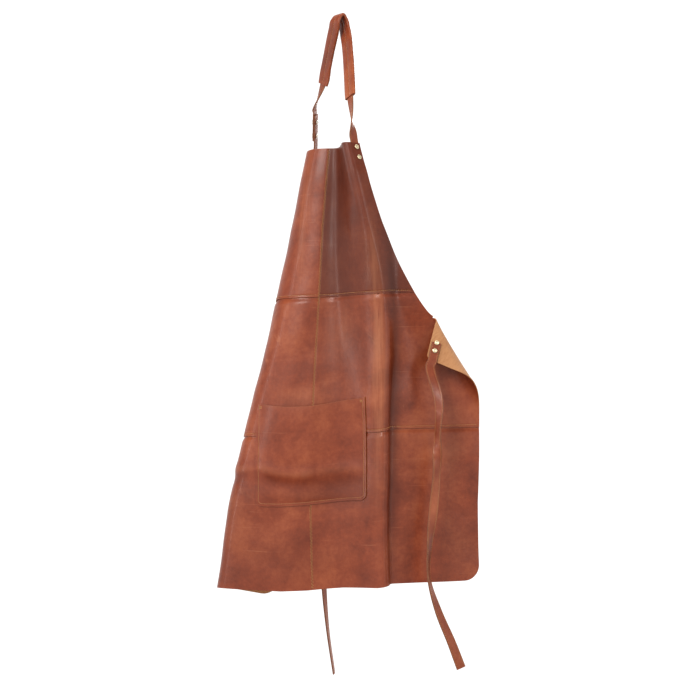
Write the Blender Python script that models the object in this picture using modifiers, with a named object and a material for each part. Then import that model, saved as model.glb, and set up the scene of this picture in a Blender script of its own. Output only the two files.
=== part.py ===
"""Leather butcher apron hanging by its neck loop, as a bench of separate pieces.

Metres, +Z up, -Y towards the front, where the grain side faces. The origin is the point under the neck pad
where the loop rests on its hook. The hide is cut flat, so every panel is first drawn flat,
with u measured along the hide from the centre seam and v down from the top of the bib, and
is then bent into place by drape(), which keeps lengths along the hide.
"""
import math

import bmesh
import bpy
import numpy as np
from mathutils import Matrix, Vector

NAME = "leather_apron"

# Flat pattern, in which the armhole is a curve set by how it falls and sweeps
BIB_TOP_Z = -0.253
BIB_HALF_WIDTH = 0.130
SKIRT_HALF_WIDTH = 0.341
WAIST_V = 0.370
LENGTH = 0.850
UPPER_SEAM_V = 0.289
LOWER_SEAM_V = 0.557
ARMHOLE_FALL = 1.05
ARMHOLE_SWEEP = 3.0
WAIST_CORNER_RADIUS = 0.012
HEM_CORNER_RADIUS = 0.030
HIDE = 0.0018
FIT_GAP = 0.0003
LAP = 0.010

# Vertical run of the centre seam: height down the bib, sideways and depth
SEAM_RUN_V = (0.0, 0.150, 0.290, 0.470, 0.700, LENGTH)
SEAM_RUN_X = (-0.027, -0.0395, -0.0465, -0.0565, -0.062, -0.058)
SEAM_RUN_Y = (0.004, -0.002, -0.008, -0.018, -0.032, -0.040)

# Heading of the hide at four heights: distance from the seam, degrees away from the viewer
SECTION_V = (0.0, UPPER_SEAM_V, 0.560, LENGTH)
RIGHT_DISTANCE = (
    (0.0, 0.008, 0.022, 0.040, 0.082, 0.094, 0.103, 0.109, 0.345),
    (0.0, 0.020, 0.045, 0.090, 0.124, 0.140, 0.150, 0.170, 0.186),
    (0.0, 0.030, 0.070, 0.110, 0.138, 0.146, 0.162, 0.172, 0.345),
    (0.0, 0.030, 0.070, 0.110, 0.138, 0.146, 0.162, 0.172, 0.345),
)
RIGHT_HEADING = (
    (4, -6, -70, -88, -86, -50, 4, 38, 38),
    (4, -6, -38, -44, -28, 0, 46, 46, 2),
    (2, -6, -22, -28, -20, 30, 76, 10, 12),
    (0, -6, -20, -28, -22, 30, 80, 10, 14),
)
# The left half turns back about a slanting line; distance past that line, degrees turned
TURN_TOP_U = 0.060
TURN_HEM_U = 0.204
LEFT_DISTANCE = (
    (-0.200, -0.075, -0.040, 0.0, 0.030, 0.070, 0.150, 0.300),
    (-0.200, -0.100, -0.055, 0.0, 0.040, 0.090, 0.160, 0.300),
    (-0.260, -0.095, -0.038, 0.0, 0.032, 0.070, 0.160, 0.300),
    (-0.260, -0.100, -0.030, 0.0, 0.027, 0.050, 0.160, 0.300),
)
LEFT_TURN = (
    (-4, -4, 16, 84, 102, 108, 110, 110),
    (-4, 0, 22, 86, 106, 112, 113, 113),
    (-2, 6, 22, 88, 128, 142, 144, 142),
    (0, 5, 22, 90, 150, 172, 174, 174),
)
# Rows of the hide climb to both sides below the bib: distance from the seam, rise
ROW_RISE_FULL_V = 0.600
ROW_RISE_U = (-0.345, -0.205, -0.110, -0.060, -0.010, 0.060, 0.130, 0.165, SKIRT_HALF_WIDTH)
ROW_RISE = (0.024, 0.004, 0.002, 0.0, 0.002, 0.009, 0.012, 0.018, 0.020)

# Right waist corner folded to the front: a cone-shaped roll that starts on the armhole
FOLD_START = (0.246, 0.341)
FOLD_SLANT = math.radians(22)
FOLD_TIGHT_RADIUS = 0.0028
FOLD_FLARE = 0.15
FOLD_TURN = math.radians(170)

# Where the flat panels are scored so that they can bend
RIGHT_SCORES = (0.014, 0.03, 0.046, 0.062, 0.082, 0.094, 0.103, 0.110, 0.12, 0.13, 0.14,
                0.146, 0.154, 0.162, 0.172, 0.19, 0.22, 0.25, 0.275, 0.295, 0.315, 0.33)
LEFT_SCORES = (0.02, 0.04, 0.06, 0.08, 0.10, 0.12)
TURN_SCORE_STEP = 0.013
TURN_SCORES = range(-6, 9)
TURN_OUTER_SCORES = (0.13, 0.17)
SCORE_LEAST = 0.008
PANEL_ROWS = 8
FAN_LINES = 7

# Pocket
POCKET_HALF_WIDTH = 0.108
POCKET_TOP_V = 0.492
POCKET_BOTTOM_V = 0.688
POCKET_TILT = math.radians(-1.5)
POCKET_CORNER = 0.012
POCKET_BULGE = 0.014
POCKET_GAP = 0.0007
POCKET_SEAM = 0.006

# Straps
STRAP_WIDTH = 0.018
STRAP_THICKNESS = 0.0024
PAD_WIDTH = 0.029
PAD_THICKNESS = 0.0062
PAD_CLEARANCE = 0.0008

# Strap ends on the flesh side, in flat (u, v) of the right half, from inner end to free side
NECK_END_FLAT = ((0.1275, 0.042), (0.1195, -0.006))
NECK_RIVET_BACK = (0.015, 0.035)
WAIST_END_FLAT = ((0.2995, 0.3672), (0.3430, 0.3806))
WAIST_RIVET_BACK = (0.0205, 0.0365)
HINGE_GAP = 0.0030
END_GAP = 0.0008

# Neck loop: hand-placed route, each place with the heading of the strap's width in degrees
TAB_TOP = (-0.0535, 0.066, -0.178)
TAB_RISE = 0.022
LAP_SHARES = (0.22, 0.48, 0.74, 1.00, 1.12, 1.24)
STUD_SHARES = (0.36, 0.78)
PAD_ROUTE = (
    ((-0.0395, 0.048, -0.121), -53),
    ((-0.0325, 0.034, -0.088), -53),
    ((-0.0245, 0.018, -0.052), -53),
    ((-0.0175, 0.001, -0.024), -53),
    ((-0.0146, -0.0050, -0.008), -53),
    ((-0.0070, 0.0000, 0.0031), -53),
    ((0.0006, 0.0050, -0.008), -53),
    ((0.0040, 0.0020, -0.026), -53),
    ((0.0075, -0.010, -0.050), -53),
    ((0.0105, -0.022, -0.088), -53),
    ((0.0125, -0.036, -0.126), -53),
    ((0.0140, -0.050, -0.163), -56),
)
RIGHT_TWIST = (
    ((0.0165, -0.061, -0.193), -74),
    ((0.0180, -0.069, -0.216), -102),
)

# Waist ties: places below the riveted end, each with the direction of the tie's width
TIE_LEAD = 0.014
TIE_RIGHT = (
    ((0.180, -0.078, -0.740), (0.9, -0.3, 0.0)),
    ((0.178, -0.082, -0.800), (0.6, -0.8, 0.0)),
    ((0.176, -0.084, -0.870), (0.75, 0.5, 0.0)),
    ((0.170, -0.086, -0.940), (0.95, 0.2, 0.0)),
    ((0.162, -0.090, -1.010), (0.5, 0.8, 0.0)),
    ((0.161, -0.094, -1.070), (0.3, 0.9, 0.0)),
    ((0.178, -0.092, -1.130), (0.6, 0.6, 0.0)),
    ((0.203, -0.086, -1.190), (0.8, 0.4, -0.2)),
    ((0.222, -0.080, -1.240), (0.9, 0.2, -0.3)),
)
TIE_LEFT_BEND = (
    ((-0.0520, 0.2620, -0.722), (0.5, 0.7, 0.2)),
    ((-0.0475, 0.2650, -0.760), (0.6, 0.7, 0.0)),
)
TIE_LEFT = (
    ((-0.0473, 0.2651, -0.763), (0.6, 0.7, 0.0)),
    ((-0.0460, 0.2660, -0.790), (0.6, 0.7, 0.0)),
    ((-0.044, 0.264, -0.880), (0.6, 0.8, 0.0)),
    ((-0.043, 0.260, -0.970), (0.65, 0.75, 0.0)),
    ((-0.043, 0.256, -1.060), (0.7, 0.7, 0.0)),
    ((-0.041, 0.252, -1.140), (0.5, 0.85, 0.0)),
    ((-0.033, 0.248, -1.230), (0.25, 0.95, 0.0)),
    ((-0.020, 0.246, -1.320), (0.15, 0.98, 0.0)),
)

# Rivets and press studs
RIVET_HEAD_RADIUS = 0.0047
RIVET_HEAD_HEIGHT = 0.0016
POST_RADIUS = 0.0015
POST_END = 0.0003
SOCKET_FLOOR = 0.0006
HOLE_RADIUS = 0.0018
HEAD_GAP = 0.0006
PUNCH_LENGTH = 0.024
STUD_RADIUS = 0.0062
STUD_HEIGHT = 0.0034
STUD_POST_END = 0.0012
STUD_SOCKET_FLOOR = 0.0015
STUD_SOCKET_DEPTH = 0.0026

# Steps of the sum along the hide, and the reach used to read its directions
STEPS = 260
REACH = 0.003

# Rings along each swept strap
TAB_RINGS = 19
NECK_RINGS = 96
TIE_RINGS = 44
TIE_END_RINGS = 24


def half_width(v):
    """Half the flat width of the hide at a height.

    The armhole is curved, then runs straight out to the waist corner; the side is plumb.
    """
    rest = 1.0 - np.clip(v / WAIST_V, 0.0, 1.0) ** ARMHOLE_FALL
    curved = SKIRT_HALF_WIDTH - (SKIRT_HALF_WIDTH - BIB_HALF_WIDTH) * rest ** (1.0 / ARMHOLE_SWEEP)
    start_u, start_v = FOLD_START
    straight = start_u + (SKIRT_HALF_WIDTH - start_u) * (v - start_v) / (WAIST_V - start_v)
    return np.where(v < start_v, np.minimum(curved, start_u), np.minimum(straight, SKIRT_HALF_WIDTH))


def between_sections(table, v):
    """Rows of a table given at SECTION_V, read smoothly at the heights v."""
    rows = np.asarray(SECTION_V)
    values = np.asarray(table, float)
    slopes = np.gradient(values, rows, axis=0)
    v = np.clip(v, rows[0], rows[-1])
    low = np.clip(np.searchsorted(rows, v, side="right") - 1, 0, len(rows) - 2)
    span = (rows[low + 1] - rows[low])[:, None]
    t = (v - rows[low])[:, None] / span
    return (
        (2 * t**3 - 3 * t**2 + 1) * values[low]
        + (t**3 - 2 * t**2 + t) * span * slopes[low]
        + (3 * t**2 - 2 * t**3) * values[low + 1]
        + (t**3 - t**2) * span * slopes[low + 1]
    )


def angle_at(distance, knots, degrees):
    """Piecewise linear angle, so the hide bends in arcs; one row of knots per point."""
    angle = np.repeat(degrees[:, :1], distance.shape[1], axis=1)
    for k in range(knots.shape[1] - 1):
        start = knots[:, k : k + 1]
        span = knots[:, k + 1 : k + 2] - start
        change = degrees[:, k + 1 : k + 2] - degrees[:, k : k + 1]
        angle = angle + change * np.clip((distance - start) / span, 0.0, 1.0)
    return np.radians(angle)


def smooth(value, top):
    t = np.clip(value / top, 0.0, 1.0)
    return t * t * (3 - 2 * t)


def drape_open(u, v):
    """Place of flat points (u, v) on the hanging hide, before the waist corner is folded."""
    place = np.stack(
        (np.interp(v, SEAM_RUN_V, SEAM_RUN_X), np.interp(v, SEAM_RUN_V, SEAM_RUN_Y), BIB_TOP_Z - v),
        axis=1,
    )
    middle = (np.arange(STEPS) + 0.5) / STEPS
    run = np.abs(u)[:, None] * middle
    step = np.abs(u) / STEPS
    right = angle_at(run, between_sections(RIGHT_DISTANCE, v), between_sections(RIGHT_HEADING, v))
    slant = math.atan2(TURN_HEM_U - TURN_TOP_U, LENGTH)
    turn_u = TURN_TOP_U + (TURN_HEM_U - TURN_TOP_U) * v / LENGTH
    past = (run - turn_u[:, None]) * math.cos(slant)
    left = angle_at(past, between_sections(LEFT_DISTANCE, v), between_sections(LEFT_TURN, v))
    lean = math.sin(slant)
    fall = math.cos(slant)
    along_right = np.stack((np.cos(right), np.sin(right), np.zeros_like(right)), axis=2)
    flat_part = 1.0 - np.cos(left)
    along_left = np.stack(
        (-np.cos(left) - lean * lean * flat_part, np.sin(left) * fall, -fall * lean * flat_part),
        axis=2,
    )
    along = np.where((u < 0)[:, None, None], along_left, along_right)
    place += along.sum(axis=1) * step[:, None]
    place[:, 2] += smooth(v, ROW_RISE_FULL_V) * np.interp(u, ROW_RISE_U, ROW_RISE)
    return place


def drape(u, v):
    """Place of flat points on the hanging hide, with the right waist corner folded over."""
    u = np.asarray(u, float)
    v = np.asarray(v, float)
    place = drape_open(u, v)
    along = np.array((math.sin(FOLD_SLANT), math.cos(FOLD_SLANT)))
    across = np.array((math.cos(FOLD_SLANT), -math.sin(FOLD_SLANT)))
    offset = np.stack((u - FOLD_START[0], v - FOLD_START[1]), axis=1)
    past = offset @ across
    down = offset @ along
    folded = (past > 0) & (down > -FOLD_TIGHT_RADIUS / FOLD_FLARE)
    if not folded.any():
        return place
    past = past[folded]
    down = down[folded]
    foot_u = FOLD_START[0] + down * along[0]
    foot_v = FOLD_START[1] + down * along[1]
    foot = drape_open(foot_u, foot_v)
    out = drape_open(foot_u + REACH * across[0], foot_v + REACH * across[1]) - foot
    run = drape_open(foot_u + REACH * along[0], foot_v + REACH * along[1]) - foot
    run /= np.linalg.norm(run, axis=1)[:, None]
    out -= run * np.sum(out * run, axis=1)[:, None]
    out /= np.linalg.norm(out, axis=1)[:, None]
    front = np.cross(run, out)
    radius = np.maximum(FOLD_TIGHT_RADIUS + FOLD_FLARE * down, 0.001)
    turn = np.minimum(past / radius, FOLD_TURN)
    rest = past - turn * radius
    sideways = radius * np.sin(turn) + rest * np.cos(turn)
    forward = radius * (1 - np.cos(turn)) + rest * np.sin(turn)
    front *= -np.sign(front[:, 1:2])
    place[folded] = foot + out * sideways[:, None] + front * forward[:, None]
    return place


def hide_frame(u, v):
    """Place, u direction, up direction and grain-side normal of the hide at one flat point."""
    points = drape((u, u + REACH, u - REACH, u, u), (v, v, v, v + REACH, v - REACH))
    across = Vector(points[1] - points[2]).normalized()
    up = Vector(points[4] - points[3]).normalized()
    normal = across.cross(up).normalized()
    return Vector(points[0]), across, up, normal


def clear_scene():
    for item in list(bpy.data.objects):
        bpy.data.objects.remove(item, do_unlink=True)


def collection(name):
    made = bpy.data.collections.new(name)
    bpy.context.scene.collection.children.link(made)
    return made


def material(name, colour, roughness, metallic=0.0):
    made = bpy.data.materials.new(name)
    made.use_nodes = True
    shader = made.node_tree.nodes["Principled BSDF"]
    shader.inputs["Base Color"].default_value = (*colour, 1.0)
    shader.inputs["Roughness"].default_value = roughness
    shader.inputs["Metallic"].default_value = metallic
    return made


def object_from(mesh_source, name, finish, group):
    """Link a bmesh as a named object with one finish."""
    mesh = bpy.data.meshes.new(name)
    mesh_source.to_mesh(mesh)
    mesh_source.free()
    mesh.materials.append(finish)
    made = bpy.data.objects.new(name, mesh)
    group.objects.link(made)
    return made


def cut_lines(shape, lines):
    """Score a flat mesh along straight lines, each a point and a normal in (u, -v)."""
    for point, normal in lines:
        faces = shape.verts[:] + shape.edges[:] + shape.faces[:]
        bmesh.ops.bisect_plane(shape, geom=faces, dist=1e-6, plane_co=point, plane_no=normal)


def flat_shape(outline, cut_u, cut_v, extra=()):
    """A flat face in (u, -v), scored into a grid that can bend."""
    shape = bmesh.new()
    corners = [shape.verts.new((u, -v, 0.0)) for u, v in outline]
    face = shape.faces.new(corners)
    face.normal_update()
    if face.normal.z < 0:
        face.normal_flip()
    cut_lines(shape, [((u, 0.0, 0.0), (1.0, 0.0, 0.0)) for u in cut_u])
    cut_lines(shape, [((0.0, -v, 0.0), (0.0, 1.0, 0.0)) for v in cut_v])
    cut_lines(shape, extra)
    return shape


def bend(shape, lift):
    """Carry a flat mesh onto the hanging hide; lift is the height over the grain side."""
    bmesh.ops.triangulate(shape, faces=shape.faces[:])
    shape.verts.ensure_lookup_table()
    u = np.array([vertex.co.x for vertex in shape.verts])
    v = np.array([-vertex.co.y for vertex in shape.verts])
    place = drape(u, v)
    across = drape(u + REACH, v) - drape(u - REACH, v)
    up = drape(u, v - REACH) - drape(u, v + REACH)
    normal = np.cross(across, up)
    normal /= np.linalg.norm(normal, axis=1)[:, None]
    place += normal * lift(u, v)[:, None]
    for vertex, target in zip(shape.verts, place):
        vertex.co = target


def thicken(made, thickness, side):
    solid = made.modifiers.new("thickness", "SOLIDIFY")
    solid.thickness = thickness
    solid.offset = side
    return made


def corner_arc(centre, radius, start, end, count):
    """Points of an arc in (u, v), from one angle to another in degrees."""
    angles = [math.radians(start + (end - start) * k / count) for k in range(count + 1)]
    return [(centre[0] + radius * math.cos(a), centre[1] + radius * math.sin(a)) for a in angles]


def panel_outline(top, bottom, side):
    """Outline of one panel in (u, v), from its inner top corner outwards and down."""
    inner = FIT_GAP / 2
    points = [(inner, top)]
    if top < WAIST_V < bottom:
        radius = WAIST_CORNER_RADIUS
        armhole = np.linspace(top, WAIST_V - 0.0012, 9)
        points += [(float(half_width(v)), float(v)) for v in armhole[:-1]]
        rise = WAIST_V + 0.0015
        points += corner_arc((SKIRT_HALF_WIDTH - radius, rise + radius), radius, -72, 0, 4)
    elif bottom <= WAIST_V:
        points += [(float(half_width(v)), float(v)) for v in np.linspace(top, bottom, 9)[:-1]]
    else:
        points.append((SKIRT_HALF_WIDTH, top))
    if bottom == LENGTH:
        radius = HEM_CORNER_RADIUS
        points += corner_arc((SKIRT_HALF_WIDTH - radius, bottom - radius), radius, 0, 90, 4)
    else:
        points.append((float(half_width(bottom)), bottom))
    points.append((inner, bottom))
    return [(side * u, v) for u, v in points]


def column_lines(side, v_low, v_high):
    """Where a panel is scored from top to bottom, closest where the hide turns back."""
    if side > 0:
        return RIGHT_SCORES
    middle = TURN_TOP_U + (TURN_HEM_U - TURN_TOP_U) * (v_low + v_high) / 2 / LENGTH
    near = [middle + TURN_SCORE_STEP * k for k in TURN_SCORES]
    wide = list(LEFT_SCORES) + [middle + reach for reach in TURN_OUTER_SCORES]
    clear = [u for u in wide if u < near[0] - SCORE_LEAST or u > near[-1] + SCORE_LEAST]
    return [-u for u in near + clear if u > SCORE_LEAST]


def fold_fan():
    """Score lines of the rolled waist corner, all through the tip of its cone."""
    tip_back = FOLD_TIGHT_RADIUS / FOLD_FLARE
    tip_u = FOLD_START[0] - tip_back * math.sin(FOLD_SLANT)
    tip_v = FOLD_START[1] - tip_back * math.cos(FOLD_SLANT)
    lines = []
    for k in range(FAN_LINES):
        slope = FOLD_SLANT + math.atan(FOLD_FLARE * FOLD_TURN * k / (FAN_LINES - 1))
        lines.append(((tip_u, -tip_v, 0.0), (math.cos(slope), math.sin(slope), 0.0)))
    return lines


def tucked(top):
    """Lower panels start behind the panel above: height over the grain side near that lap."""
    def lift(u, v):
        return -(HIDE + 2 * FIT_GAP) * (1.0 - smooth(v - top - 0.001, LAP))
    return lift


def level(height):
    def lift(u, v):
        return np.full(len(u), height)
    return lift


def make_panel(name, top, bottom, side, finish, group):
    """One hide panel; below the bib its top edge runs a lap's width behind the panel above."""
    low = top - LAP if top > 0 else top
    outline = panel_outline(low, bottom, side)
    if side < 0:
        outline.reverse()
    rows = [low + (bottom - low) * k / PANEL_ROWS for k in range(1, PANEL_ROWS)]
    if top > 0:
        rows = [top, top + LAP / 2, top + 0.012] + [v for v in rows if v > top + 0.02]
    else:
        rows = [0.02, 0.045] + [v for v in rows if v > 0.06]
    if bottom < LENGTH:
        rows = [v for v in rows if v < bottom - LAP - 0.006] + [bottom - LAP]
    fan = ()
    if side > 0 and top < WAIST_V < bottom:
        fan = fold_fan()
        rows = sorted(rows + [WAIST_V, WAIST_V + 0.014, WAIST_V + 0.034])
    shape = flat_shape(outline, column_lines(side, top, bottom), rows, fan)
    bend(shape, tucked(top) if top > 0 else level(0.0))
    return thicken(object_from(shape, name, finish, group), HIDE, -1.0)


def pocket_lift(u, v):
    """Height of the pocket's back over the hide: stitched down at the sides and bottom."""
    across = np.clip(1.0 - (u / (POCKET_HALF_WIDTH - POCKET_SEAM)) ** 2, 0.0, 1.0)
    open_v = POCKET_BOTTOM_V - POCKET_SEAM - v
    depth = np.clip(open_v / (POCKET_BOTTOM_V - POCKET_TOP_V), 0.0, 1.0)
    return POCKET_GAP + POCKET_BULGE * across * (depth * (2 - depth)) ** 0.8


def pocket_outline():
    half = POCKET_HALF_WIDTH
    radius = POCKET_CORNER
    points = [(-half, POCKET_TOP_V), (half, POCKET_TOP_V)]
    points += corner_arc((half - radius, POCKET_BOTTOM_V - radius), radius, 0, 90, 3)
    points += corner_arc((radius - half, POCKET_BOTTOM_V - radius), radius, 90, 180, 3)
    middle_v = (POCKET_TOP_V + POCKET_BOTTOM_V) / 2
    turned = []
    for u, v in points:
        du, dv = u, v - middle_v
        turned.append((du * math.cos(POCKET_TILT) - dv * math.sin(POCKET_TILT),
                       middle_v + du * math.sin(POCKET_TILT) + dv * math.cos(POCKET_TILT)))
    return turned


def make_pocket(finish, group):
    """The pocket is one hide of its own, stitched along its sides and bottom."""
    columns = np.linspace(POCKET_SEAM - POCKET_HALF_WIDTH, POCKET_HALF_WIDTH - POCKET_SEAM, 17)
    rows = np.linspace(POCKET_TOP_V, POCKET_BOTTOM_V, 11)[1:-1]
    shape = flat_shape(pocket_outline(), columns, rows)
    bend(shape, pocket_lift)
    return thicken(object_from(shape, "pocket", finish, group), HIDE, 1.0)


def through(points, count):
    """Evenly numbered places on the smooth curve through hand-placed values."""
    values = np.asarray(points, float)
    padded = np.vstack((2 * values[0] - values[1], values, 2 * values[-1] - values[-2]))
    made = []
    for k in range(count):
        t = k * (len(values) - 1) / (count - 1)
        i = min(int(t), len(values) - 2)
        f = t - i
        a, b, c, d = padded[i : i + 4]
        made.append(0.5 * (2 * b + (c - a) * f + (2 * a - 5 * b + 4 * c - d) * f * f
                           + (3 * b - a - 3 * c + d) * f**3))
    return np.array(made)


def ribbon_frames(stations, count):
    """Centres, width directions and face directions along a strap.

    A station is a place and the direction of the strap's width there, six numbers in all.
    """
    path = through(stations, count)
    centres = path[:, :3]
    tangents = np.gradient(centres, axis=0)
    tangents /= np.linalg.norm(tangents, axis=1)[:, None]
    width = path[:, 3:]
    width -= tangents * np.sum(width * tangents, axis=1)[:, None]
    width /= np.linalg.norm(width, axis=1)[:, None]
    face = np.cross(tangents, width)
    return centres, width, face


def ring_corners(width, thickness):
    return [(-width / 2, -thickness / 2), (width / 2, -thickness / 2),
            (width / 2, thickness / 2), (-width / 2, thickness / 2)]


def loft(frames, rings, name, finish, group):
    """Solid swept along frames from an outer ring and, for a sleeve, an inner one."""
    centres, widths, faces = frames
    shape = bmesh.new()
    grids = []
    for corners in rings:
        grid = []
        for centre, width, face in zip(centres, widths, faces):
            grid.append([shape.verts.new(centre + width * a + face * b) for a, b in corners])
        grids.append(grid)
    for grid in grids:
        sides = len(grid[0])
        for first, second in zip(grid, grid[1:]):
            for k in range(sides):
                n = (k + 1) % sides
                shape.faces.new((first[k], first[n], second[n], second[k]))
    for end in (0, -1):
        if len(grids) == 1:
            shape.faces.new(grids[0][end])
        else:
            outer, inner = grids[0][end], grids[1][end]
            for k in range(len(outer)):
                n = (k + 1) % len(outer)
                shape.faces.new((outer[k], outer[n], inner[n], inner[k]))
    bmesh.ops.recalc_face_normals(shape, faces=shape.faces[:])
    return object_from(shape, name, finish, group)


def strap(stations, count, name, finish, group):
    rings = [ring_corners(STRAP_WIDTH, STRAP_THICKNESS)]
    return loft(ribbon_frames(stations, count), rings, name, finish, group)


def turned(profile, name, finish, group, sides=14):
    """A small solid turned about Z from a profile of (radius, height) that ends on the axis."""
    mesh = bpy.data.meshes.new(name)
    places = [(radius, 0.0, height) for radius, height in profile]
    mesh.from_pydata(places, [(k, k + 1) for k in range(len(places) - 1)], [])
    mesh.materials.append(finish)
    made = bpy.data.objects.new(name, mesh)
    group.objects.link(made)
    screw = made.modifiers.new("turn", "SCREW")
    screw.steps = sides
    screw.render_steps = sides
    screw.use_merge_vertices = True
    screw.merge_threshold = 0.00001
    return made


def stand(made, place, axis, spin=0.0):
    """Set a turned piece on a place, with its Z along axis."""
    made.matrix_world = (Matrix.Translation(place) @ axis.to_track_quat("Z", "Y").to_matrix().to_4x4()
                         @ Matrix.Rotation(spin, 4, "Z"))
    return made


def hole_cutter(name, place, axis, group):
    """Punch for one rivet hole, standing through the stack of leather."""
    shape = bmesh.new()
    bmesh.ops.create_cone(shape, cap_ends=True, segments=10, radius1=HOLE_RADIUS,
                          radius2=HOLE_RADIUS, depth=PUNCH_LENGTH)
    mesh = bpy.data.meshes.new(name)
    shape.to_mesh(mesh)
    shape.free()
    made = bpy.data.objects.new(name, mesh)
    group.objects.link(made)
    made.display_type = "WIRE"
    made.hide_render = True
    return stand(made, place, axis)


def punch(target, cutter):
    cut = target.modifiers.new("hole", "BOOLEAN")
    cut.operation = "DIFFERENCE"
    cut.solver = "EXACT"
    cut.object = cutter


def rivet(name, place, axis, stack, layers, metal, group, cutters):
    """Double-cap rivet through a stack of leather.

    place is the middle of the stack and axis runs from the back cap to the front cap. The
    front cap carries the post, and the back cap's socket takes it.
    """
    half = stack / 2 + HEAD_GAP
    radius = RIVET_HEAD_RADIUS
    rise = RIVET_HEAD_HEIGHT
    front = turned(((0.0, half + rise), (0.0010, half + rise), (radius * 0.72, half + rise * 0.92),
                    (radius * 0.95, half + rise * 0.5), (radius, half), (POST_RADIUS, half),
                    (POST_RADIUS, -half - POST_END), (0.0, -half - POST_END)),
                   name + "_cap", metal, group)
    floor = -half - SOCKET_FLOOR
    back = turned(((0.0, floor), (POST_RADIUS + FIT_GAP, floor),
                   (POST_RADIUS + FIT_GAP, -half), (radius, -half), (radius * 0.95, -half - rise * 0.5),
                   (radius * 0.72, -half - rise * 0.92), (0.0, -half - rise)),
                  name + "_back_cap", metal, group)
    for piece in (front, back):
        stand(piece, place, axis)
    cutter = hole_cutter(name + "_punch", place, axis, cutters)
    for layer in layers:
        punch(layer, cutter)


def stud(name, place, axis, stack, layers, metal, group, cutters):
    """Press stud that joins the neck strap to its tab: domed cap with post, and ring socket."""
    half = stack / 2 + HEAD_GAP
    radius = STUD_RADIUS
    rise = STUD_HEIGHT
    cap = turned(((0.0, half + rise), (radius * 0.4, half + rise * 0.94), (radius * 0.75, half + rise * 0.7),
                  (radius * 0.96, half + rise * 0.32), (radius, half), (POST_RADIUS, half),
                  (POST_RADIUS, -half - STUD_POST_END), (0.0, -half - STUD_POST_END)),
                 name + "_cap", metal, group)
    floor = -half - STUD_SOCKET_FLOOR
    base = -half - STUD_SOCKET_DEPTH
    socket = turned(((0.0, floor), (POST_RADIUS + FIT_GAP, floor), (POST_RADIUS + FIT_GAP, -half),
                     (radius * 0.85, -half), (radius * 0.85, floor), (radius * 0.55, base), (0.0, base)),
                    name + "_socket", metal, group)
    for piece in (cap, socket):
        stand(piece, place, axis)
    cutter = hole_cutter(name + "_punch", place, axis, cutters)
    for layer in layers:
        punch(layer, cutter)


def on_flesh(u, v, depth):
    """Place at a depth under the grain side, with the hide's u, up and normal directions."""
    place, across, up, normal = hide_frame(u, v)
    return place - normal * depth, across, up, normal


def flesh_strip(start, end, depth, count=8):
    """Frames of a strap end that lies flat on the flesh side between two flat points."""
    flat = [Vector(start).lerp(Vector(end), k / (count - 1)) for k in range(count)]
    spots = [on_flesh(point.x, point.y, depth) for point in flat]
    centres = np.array([spot[0] for spot in spots])
    faces = np.array([spot[3] for spot in spots])
    runs = np.gradient(centres, axis=0)
    widths = np.cross(runs, faces)
    widths /= np.linalg.norm(widths, axis=1)[:, None]
    return centres, widths, faces


def past_end(frames, gap):
    """Place, run direction and width direction a little past the last frame of a strip."""
    centres, widths, _ = frames
    run = centres[-1] - centres[-2]
    run /= np.linalg.norm(run)
    return centres[-1] + run * gap, run, widths[-1]


def level_width(degrees):
    """Width direction that lies level, from its heading in degrees from +X."""
    return np.array((math.cos(math.radians(degrees)), math.sin(math.radians(degrees)), 0.0))


def station(place, width):
    return (*place, *width)


def along_strip(frames, distance):
    """Place and face direction at a distance back from a strip's last frame."""
    centres, _, faces = frames
    lengths = np.linalg.norm(np.diff(centres, axis=0), axis=1)
    reach = np.concatenate(([0.0], np.cumsum(lengths[::-1])))
    backwards = centres[::-1]
    place = [np.interp(distance, reach, backwards[:, k]) for k in range(3)]
    face = [np.interp(distance, reach, faces[::-1][:, k]) for k in range(3)]
    return Vector(place), Vector(face).normalized()


def corner_rivets(name, strip, distances, layers, metal, group, cutters):
    """Two rivets that hold a strap end on the hide; the strip's faces look to the grain side."""
    stack = HIDE + END_GAP + STRAP_THICKNESS
    for k, distance in enumerate(distances):
        centre, face = along_strip(strip, distance)
        middle = centre + face * (stack / 2 - STRAP_THICKNESS / 2)
        rivet(f"{name}_rivet_{k + 1}", middle, face, stack, layers, metal, group, cutters)


def stub_depth():
    """Depth of a strap end's middle under the grain side."""
    return HIDE + END_GAP + STRAP_THICKNESS / 2


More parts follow.
